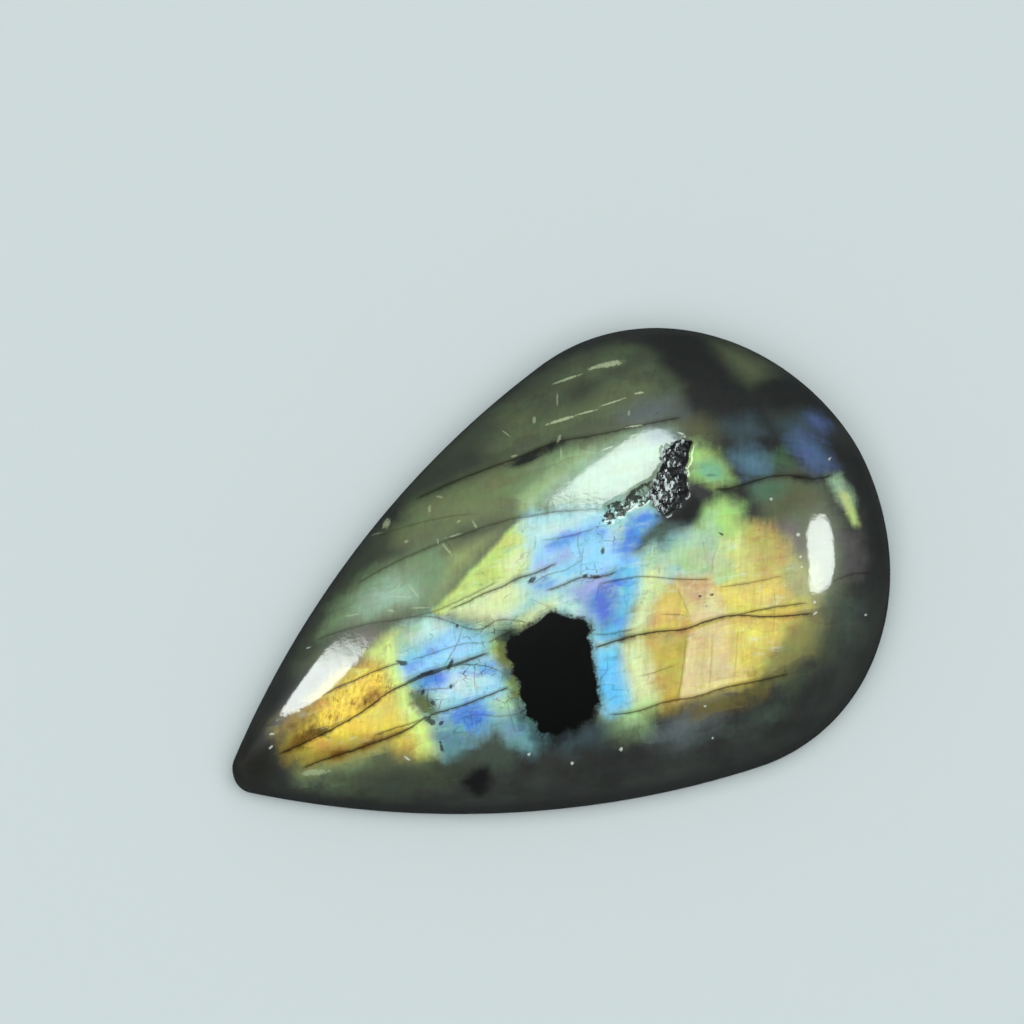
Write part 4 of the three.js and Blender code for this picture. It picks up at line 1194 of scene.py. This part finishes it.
    # a fine net of cracks in a few places
    netPlan = put(tree, "ShaderNodeMapping", {
        "Vector": plan, "Rotation": (0.0, 0.0, math.radians(surface["netTilt"])),
        "Scale": surface["netCell"]}, vector_type="TEXTURE")
    cells = put(tree, "ShaderNodeTexVoronoi", {
        "Vector": netPlan.outputs[0], "Scale": 1.0, "Randomness": 1.0}, feature="DISTANCE_TO_EDGE",
        voronoi_dimensions="2D")
    edge = reckon(tree, "MULTIPLY_ADD", fineUnrest, surface["netStray"], cells.outputs["Distance"])
    netLine = mask(edge, "netLine")
    zone = reckon(tree, "MULTIPLY_ADD", fineUnrest, surface["netZoneStray"], attribute("net"))
    netZone = mask(zone, "netZone")
    patchyNet = mask(grainNoise("netPatch"), "netPatch")
    netDark = times(netLine, netZone, patchyNet, surface["netDepth"])
    colour = blendColour(tree, colour, surface["netTone"], netDark, "MULTIPLY")

    # cracks darken the tone under them, most in the middle of the line
    hairline = buildHairline()
    lines, halos = 0.0, 0.0
    for crackSet, along, across in ((cracks, alongX, acrossY), (steepCracks, acrossY, alongX)):
        runAlong = reckon(tree, "MULTIPLY_ADD", along, 1 / planSpan, 0.5)
        for points, width, depth in crackSet:
            if crackSet is steepCracks:
                points = [(y, x) for x, y in points]
            height = pinCurve(tree, runAlong, points)
            crack = useGroup(tree, hairline, Along=along, Across=across, Curve=height, Unrest=fineUnrest,
                             Start=points[0][0], End=points[-1][0], Width=width, Depth=depth)
            lines = reckon(tree, "MAXIMUM", lines, crack.outputs["Line"])
            halos = reckon(tree, "MAXIMUM", halos, crack.outputs["Halo"])
    colour = blendColour(tree, colour, surface["haloTone"], times(halos, surface["haloDepth"]), "MULTIPLY")

    # healed fractures: thin wavy threads where a stretched noise crosses its middle value
    def threads(kind):
        rise = grainNoise(kind + "Thread")
        gap = reckon(tree, "ABSOLUTE", reckon(tree, "SUBTRACT", rise, 0.5))
        where = mask(grainNoise(kind + "ThreadZone"), "threadZone")
        return times(mask(gap, "thread"), where)

    offGold = [mask(attribute(name), "offGold") for name in ("glowGold", "toneGold")]
    inBlue = times(flash, *offGold)
    healed = reckon(tree, "MAXIMUM", threads("shallow"), threads("steep"))
    healed = times(healed, inBlue, surface["threadDepth"])
    fleck = put(tree, "ShaderNodeTexVoronoi", {
        "Vector": plan, "Scale": surface["fleckScale"], "Randomness": 1.0})
    fleckPick = put(tree, "ShaderNodeSeparateColor", {0: fleck.outputs["Color"]}).outputs[1]
    fleckSize = ramp(tree, fleckPick, surface["fleckShare"], 1.0, 0.0, surface["fleckSize"])
    flecks = reckon(tree, "LESS_THAN", fleck.outputs["Distance"], fleckSize)
    flecks = times(flecks, surface["fleckDepth"])
    dark = reckon(tree, "MAXIMUM", lines, reckon(tree, "MAXIMUM", healed, flecks))
    colour = blendColour(tree, colour, surface["crackTone"], dark, "MULTIPLY")

    speck = buildSpeck()
    crumb = centred(grainNoise("crumb"), "crumb")

    def speckled(marks):
        covered = 0.0
        for x, y, halfLength, halfWidth, tilt in marks:
            cosine, sine = math.cos(math.radians(tilt)), math.sin(math.radians(tilt))
            covered = useGroup(
                tree, speck, Plan=flatPlan, Centre=(x, y, 0.0),
                Long_Axis=(cosine / halfLength, sine / halfLength, 0.0),
                Short_Axis=(-sine / halfWidth, cosine / halfWidth, 0.0),
                Unrest=crumb, Others=covered).outputs[0]
        return covered

    dots = times(speckled(darkMarks), surface["darkMarkDepth"])
    colour = blendColour(tree, colour, surface["darkMarkTone"], dots)
    upper = mask(split[2], "upper")
    # painted cleavage glints and pale threads, on the upper dome only
    strokes = times(speckled(cleavageGlints), surface["cleavageGlintDepth"])
    pale = times(speckled(paleMarks), surface["paleDepth"])
    pale = reckon(tree, "MAXIMUM", strokes, pale)
    colour = blendColour(tree, colour, surface["glintAndThreadTone"], times(pale, upper))
    # painted glints: the small white sparkles
    dots = times(speckled(sparkleGlints), upper, surface["sparkleDepth"])
    colour = blendColour(tree, colour, surface["sparkleTone"], dots)

    # painted shade: the steep sides near the girdle lose the flash and are painted back towards the dark
    # body colour as the normal turns from up
    normal = put(tree, "ShaderNodeNewGeometry").outputs["Normal"]
    facing = put(tree, "ShaderNodeSeparateXYZ", {0: normal}).outputs[2]
    steepSideShade = times(mask(facing, "steepSideShade"), surface["sideShadeDepth"])
    colour = blendColour(tree, colour, surface["body"], steepSideShade)

    # the black inclusion, flush under the polish, with a smudged and speckled margin
    inside = reckon(tree, "MULTIPLY_ADD", wander, surface["inclusionWander"], attribute("inclusion"))
    speckle = centred(grainNoise("speckle"), "speckle")
    ragged = reckon(tree, "MULTIPLY_ADD", speckle, surface["inclusionRagged"], inside)
    leftSide = mask(alongX, "leftSide")
    margin = reckon(tree, "MULTIPLY_ADD", fineUnrest, surface["marginStray"], inside)
    margin = reckon(tree, "MULTIPLY_ADD", leftSide, surface["marginLeft"], margin)
    smudge = times(mask(margin, "smudge"), surface["smudgeDepth"])
    colour = blendColour(tree, colour, surface["smudgeTone"], smudge, "MULTIPLY")
    speckles = reckon(tree, "MULTIPLY_ADD", speckle, surface["speckleReach"], inside)
    speckles = mask(speckles, "speckles")
    grey = mask(grainNoise("inclusionGrey"), "inclusionGrey")
    black = blendColour(tree, surface["inclusionTone"], surface["inclusionGrey"], grey)
    black = blendColour(tree, colour, black, times(speckles, surface["speckleDepth"]))
    colour = blendColour(tree, black, surface["inclusionTone"], mask(ragged, "inclusion"))

    # the unpolished hollow, with grey flecks and painted glints that gather on its lit upper left, and the
    # broken groove with dark flecks in it
    grit = grainNoise("grit")
    rough = mask(attribute("hollow"), "hollow")
    broken = mask(grit, "hollowGreyAndGlint")
    broken = blendColour(tree, surface["hollowTone"], surface["hollowGreyAndGlint"], broken)
    lit = mask(reckon(tree, "MULTIPLY_ADD", acrossY, surface["litTurn"], alongX), "hollowLit")
    crystal = grainNoise("crystal")
    glint = mask(reckon(tree, "MULTIPLY_ADD", lit, surface["litGlints"], crystal), "glint")
    broken = blendColour(tree, broken, surface["glintTone"], glint)
    torn = mask(attribute("groove"), "groove")
    chips = times(torn, mask(grit, "chips"))
    colour = blendColour(tree, colour, surface["chipTone"], chips)
    colour = blendColour(tree, colour, broken, rough)

    # the ground back and bevel
    ground = mask(facing, "ground")
    sawn = mask(grainNoise("sawn"), "sawn")
    groundColour = blendColour(tree, surface["groundDark"], surface["groundTone"], sawn)
    colour = blendColour(tree, colour, groundColour, ground)

    smoothest = surface["baseRoughness"] - surface["smoother"]
    roughest = surface["baseRoughness"] + surface["rougher"]
    roughness = ramp(tree, mottle, *spans["mottle"], smoothest, roughest)

    def towards(value, target, amount):
        gap = reckon(tree, "SUBTRACT", target, value)
        return reckon(tree, "MULTIPLY_ADD", gap, amount, value)

    roughness = towards(roughness, surface["hollowRoughness"], rough)
    roughness = towards(roughness, surface["groundRoughness"], ground)
    dull = reckon(tree, "MAXIMUM", rough, ground)
    bare = reckon(tree, "MULTIPLY_ADD", chips, surface["chipBare"], ground)
    bare = reckon(tree, "MULTIPLY_ADD", rough, surface["hollowBare"], bare)
    coat = reckon(tree, "SUBTRACT", 1.0, bare, clamp=True)

    # the broken or sawn relief where there is no polish
    coarse = grainNoise("coarse")
    relief = times(coarse, dull, surface["reliefHeight"])
    bump = put(tree, "ShaderNodeBump", {
        "Strength": surface["reliefStrength"], "Distance": surface["reliefDepth"], "Height": relief})

    # the polish itself is a little uneven, so highlights have live edges
    ripple = reckon(tree, "MULTIPLY_ADD", grainNoise("ripple"), surface["rippleShare"],
                    grainNoise("wideRipple"))
    ripple = reckon(tree, "MULTIPLY_ADD", grainNoise("fineRipple"), surface["fineRippleShare"], ripple)
    gloss = put(tree, "ShaderNodeBump", {
        "Strength": surface["rippleStrength"], "Distance": surface["rippleDepth"], "Height": ripple})

    shader = put(tree, "ShaderNodeBsdfPrincipled", {
        "Base Color": colour, "Roughness": roughness, "Coat Weight": coat,
        "Normal": bump.outputs[0], "Coat Normal": gloss.outputs[0],
        "IOR": 1.45, "Specular IOR Level": 0.35, "Coat IOR": 1.56, "Coat Roughness": 0.035})
    output = put(tree, "ShaderNodeOutputMaterial")
    feed(tree, output.inputs["Surface"], shader.outputs[0])
    return material


labradorite = buildLabradorite()
cabochon = growCabochon(labradorite)
tidyNormals(cabochon.data)
markStone(cabochon)
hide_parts("cabochon")
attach(cabochon, "root")
print("cabochon grown and marked:", len(cabochon.data.polygons), "faces")


# Floor, light and camera

studio = {
    "floorRadius": 3.4,
    "floorGap": 0.01 * mm,
    "footHeight": 0.001 * mm,   # points lower than this are the edge of the flat back
    "opening": 0.98,            # how much of the back the floor leaves open
    "floorTone": paint(206, 216, 216),
    "floorInGloss": 0.06,   # how much of the floor shows in the polish, as under a black card
    "backTone": paint(214, 224, 226),
    "fill": 0.35,
    "fillBelow": 0.8,       # the light from below, which only the back and bevel get
    "horizon": (0.0, -0.2),   # where the fill gives way to it
    "fillInGloss": 0.04,
    "distance": 2.0,
    "lampTint": (0.93, 1.0, 0.97),
    "lampCorners": 3.0,       # 2 would make an oval of a lamp, more makes it squarer
    "lampEdge": (1.02, 0.82),   # where its edge is dark and where it is full
    # azimuth from +X and elevation in degrees, width and height in metres, turn, brightness, and
    # the fade of one end: how it slants, where it is dark and where it is full, from 0 to 1 across
    "highlights": [
        ("windowLamp", 79.0, 58.6, 0.84, 0.57, 16, 8.4, (0.1, 0.95, 0.84)),
        ("tallLamp", 127.5, 34.4, 0.50, 1.22, -14, 13.8, (0.0, -0.05, 0.36)),
        ("sideLamp", -21.0, 41.0, 0.85, 0.60, 10, 13.2, (0.0, -0.3, 0.12)),
    ],
    "softbox": {"azimuth": -100, "elevation": 82, "size": 2.4, "brightness": 2.5},
}


def splitByRay(tree, plain, glossy, rayKind="Is Glossy Ray"):
    rays = put(tree, "ShaderNodeLightPath")
    mixed = put(tree, "ShaderNodeMixShader", {0: rays.outputs[rayKind]})
    feed(tree, mixed.inputs[1], plain)
    feed(tree, mixed.inputs[2], glossy)
    return mixed.outputs[0]


def layFloor():
    # a round floor, open under the flat back so that the back shows from below
    centre = Vector((stone["length"] / 2 - stone["noseRadius"], 0, 0))
    spokes = [vertex.co - centre for vertex in cabochon.data.vertices if vertex.co.z < studio["footHeight"]]
    spokes = [Vector((spoke.x, spoke.y, 0)) for spoke in spokes if spoke.length > stone["tipRadius"]]
    spokes.sort(key=lambda spoke: math.atan2(spoke.y, spoke.x))
    count = len(spokes)
    inner = [centre + spoke * studio["opening"] for spoke in spokes]
    outer = [centre + spoke.normalized() * studio["floorRadius"] for spoke in spokes]
    corners = [(point.x, point.y, -studio["floorGap"]) for point in inner + outer]
    faces = [(i, i + count, (i + 1) % count + count, (i + 1) % count) for i in range(count)]
    mesh = bpy.data.meshes.new("floor")
    mesh.from_pydata(corners, [], faces)
    floor = bpy.data.objects.new("floor", mesh)
    bpy.context.scene.collection.objects.link(floor)
    material = bpy.data.materials.new("paleFloor")
    material.use_nodes = True
    tree = material.node_tree
    plain = put(tree, "ShaderNodeBsdfDiffuse", {"Color": studio["floorTone"]}).outputs[0]
    dark = [channel * studio["floorInGloss"] for channel in studio["floorTone"][:3]]
    card = put(tree, "ShaderNodeBsdfDiffuse", {"Color": (*dark, 1.0)}).outputs[0]
    feed(tree, tree.nodes["Material Output"].inputs["Surface"], splitByRay(tree, plain, card))
    mesh.materials.append(material)


def direction(azimuth, elevation):
    turn, lift = math.radians(azimuth), math.radians(elevation)
    return Vector((math.cos(turn) * math.cos(lift), math.sin(turn) * math.cos(lift), math.sin(lift)))


def hangLamp(name, azimuth, elevation, width, height, turn, brightness):
    lamp = bpy.data.lights.new(name, "AREA")
    lamp.shape = "RECTANGLE"
    lamp.size = width
    lamp.size_y = height
    lamp.energy = brightness * math.pi * width * height
    lampObject = bpy.data.objects.new(name, lamp)
    away = direction(azimuth, elevation)
    aim = Vector((0, 0, stone["height"] / 2))
    turned = (-away).to_track_quat("-Z", "Y").to_matrix() @ Matrix.Rotation(math.radians(turn), 3, "Z")
    lampObject.matrix_world = Matrix.Translation(aim + away * studio["distance"]) @ turned.to_4x4()
    bpy.context.scene.collection.objects.link(lampObject)
    return lampObject


def fadeEdges(lamp, softEnd):
    # a lamp whose light fades towards its edges and corners, as through a diffuser, and at one end
    lamp.use_nodes = True
    tree = lamp.node_tree
    emission = tree.nodes["Emission"]
    place = put(tree, "ShaderNodeNewGeometry").outputs["Parametric"]
    across = put(tree, "ShaderNodeSeparateXYZ", {0: place}).outputs
    powers = []
    for share in (across[0], across[1]):
        fromMiddle = reckon(tree, "ABSOLUTE", reckon(tree, "SUBTRACT", share, 0.5))
        fromMiddle = reckon(tree, "MULTIPLY", fromMiddle, 2.0)
        powers.append(reckon(tree, "POWER", fromMiddle, studio["lampCorners"]))
    distance = reckon(tree, "POWER", reckon(tree, "ADD", *powers), 1 / studio["lampCorners"])
    slant, dark, full = softEnd
    run = reckon(tree, "MULTIPLY_ADD", across[1], slant, across[0])
    edge = ramp(tree, distance, *studio["lampEdge"])
    strength = reckon(tree, "MULTIPLY", edge, ramp(tree, run, dark, full))
    feed(tree, emission.inputs["Strength"], strength)


def hangLamps():
    for name, azimuth, elevation, width, height, turn, brightness, softEnd in studio["highlights"]:
        lampObject = hangLamp(name, azimuth, elevation, width, height, turn, brightness)
        lampObject.visible_diffuse = False
        lampObject.data.color = studio["lampTint"]
        fadeEdges(lampObject.data, softEnd)
    softbox = studio["softbox"]
    size = softbox["size"]
    wide = hangLamp("softbox", softbox["azimuth"], softbox["elevation"], size, size, 0,
                    softbox["brightness"])
    wide.visible_glossy = False


def lightWorld():
    # the room is pale to the camera, fills the shadows a little and stays dark in the polish
    world = bpy.data.worlds.new("studio")
    bpy.context.scene.world = world
    world.use_nodes = True
    tree = world.node_tree
    tree.nodes.clear()

    def background(strength):
        return put(tree, "ShaderNodeBackground", {
            "Color": studio["backTone"], "Strength": strength}).outputs[0]

    heading = put(tree, "ShaderNodeTexCoord").outputs["Generated"]
    lift = put(tree, "ShaderNodeSeparateXYZ", {0: heading}).outputs[2]
    fill = ramp(tree, lift, *studio["horizon"], studio["fill"], studio["fillBelow"])
    lit = splitByRay(tree, background(fill), background(studio["fillInGloss"]))
    seen = splitByRay(tree, lit, background(1.0), "Is Camera Ray")
    output = put(tree, "ShaderNodeOutputWorld")
    feed(tree, output.inputs["Surface"], seen)


view = {
    "azimuth": -118.0,      # from +X
    "elevation": 77.0,
    "distance": 0.3,
    "originPixel": (548.6, 621.4),   # where the stone's origin shows in the 1024 x 1024 frame
    "pixelsPerMetre": 18500.0,
    "frameSize": 1024,
    "sensor": 36.0,
    "nearest": 0.01,
}


def setCamera():
    camera = bpy.data.cameras.new("camera")
    camera.sensor_width = view["sensor"]
    camera.lens = view["distance"] * view["pixelsPerMetre"] / view["frameSize"] * view["sensor"]
    camera.clip_start = view["nearest"]
    back = direction(view["azimuth"], view["elevation"])
    turn = math.radians(view["azimuth"])
    right = Vector((-math.sin(turn), math.cos(turn), 0))
    up = back.cross(right)
    middle = view["frameSize"] / 2
    asideX = (middle - view["originPixel"][0]) / view["pixelsPerMetre"]
    asideY = (view["originPixel"][1] - middle) / view["pixelsPerMetre"]
    place = back * view["distance"]
    axis = (place - right * asideX - up * asideY).normalized()
    right = (right - axis * right.dot(axis)).normalized()
    up = axis.cross(right)
    turned = Matrix((right, up, axis)).transposed().to_4x4()
    cameraObject = bpy.data.objects.new("camera", camera)
    cameraObject.matrix_world = Matrix.Translation(place) @ turned
    bpy.context.scene.collection.objects.link(cameraObject)
    bpy.context.scene.camera = cameraObject


layFloor()
hangLamps()
lightWorld()
setCamera()
bpy.context.scene.view_settings.view_transform = "Standard"
print("studio set")
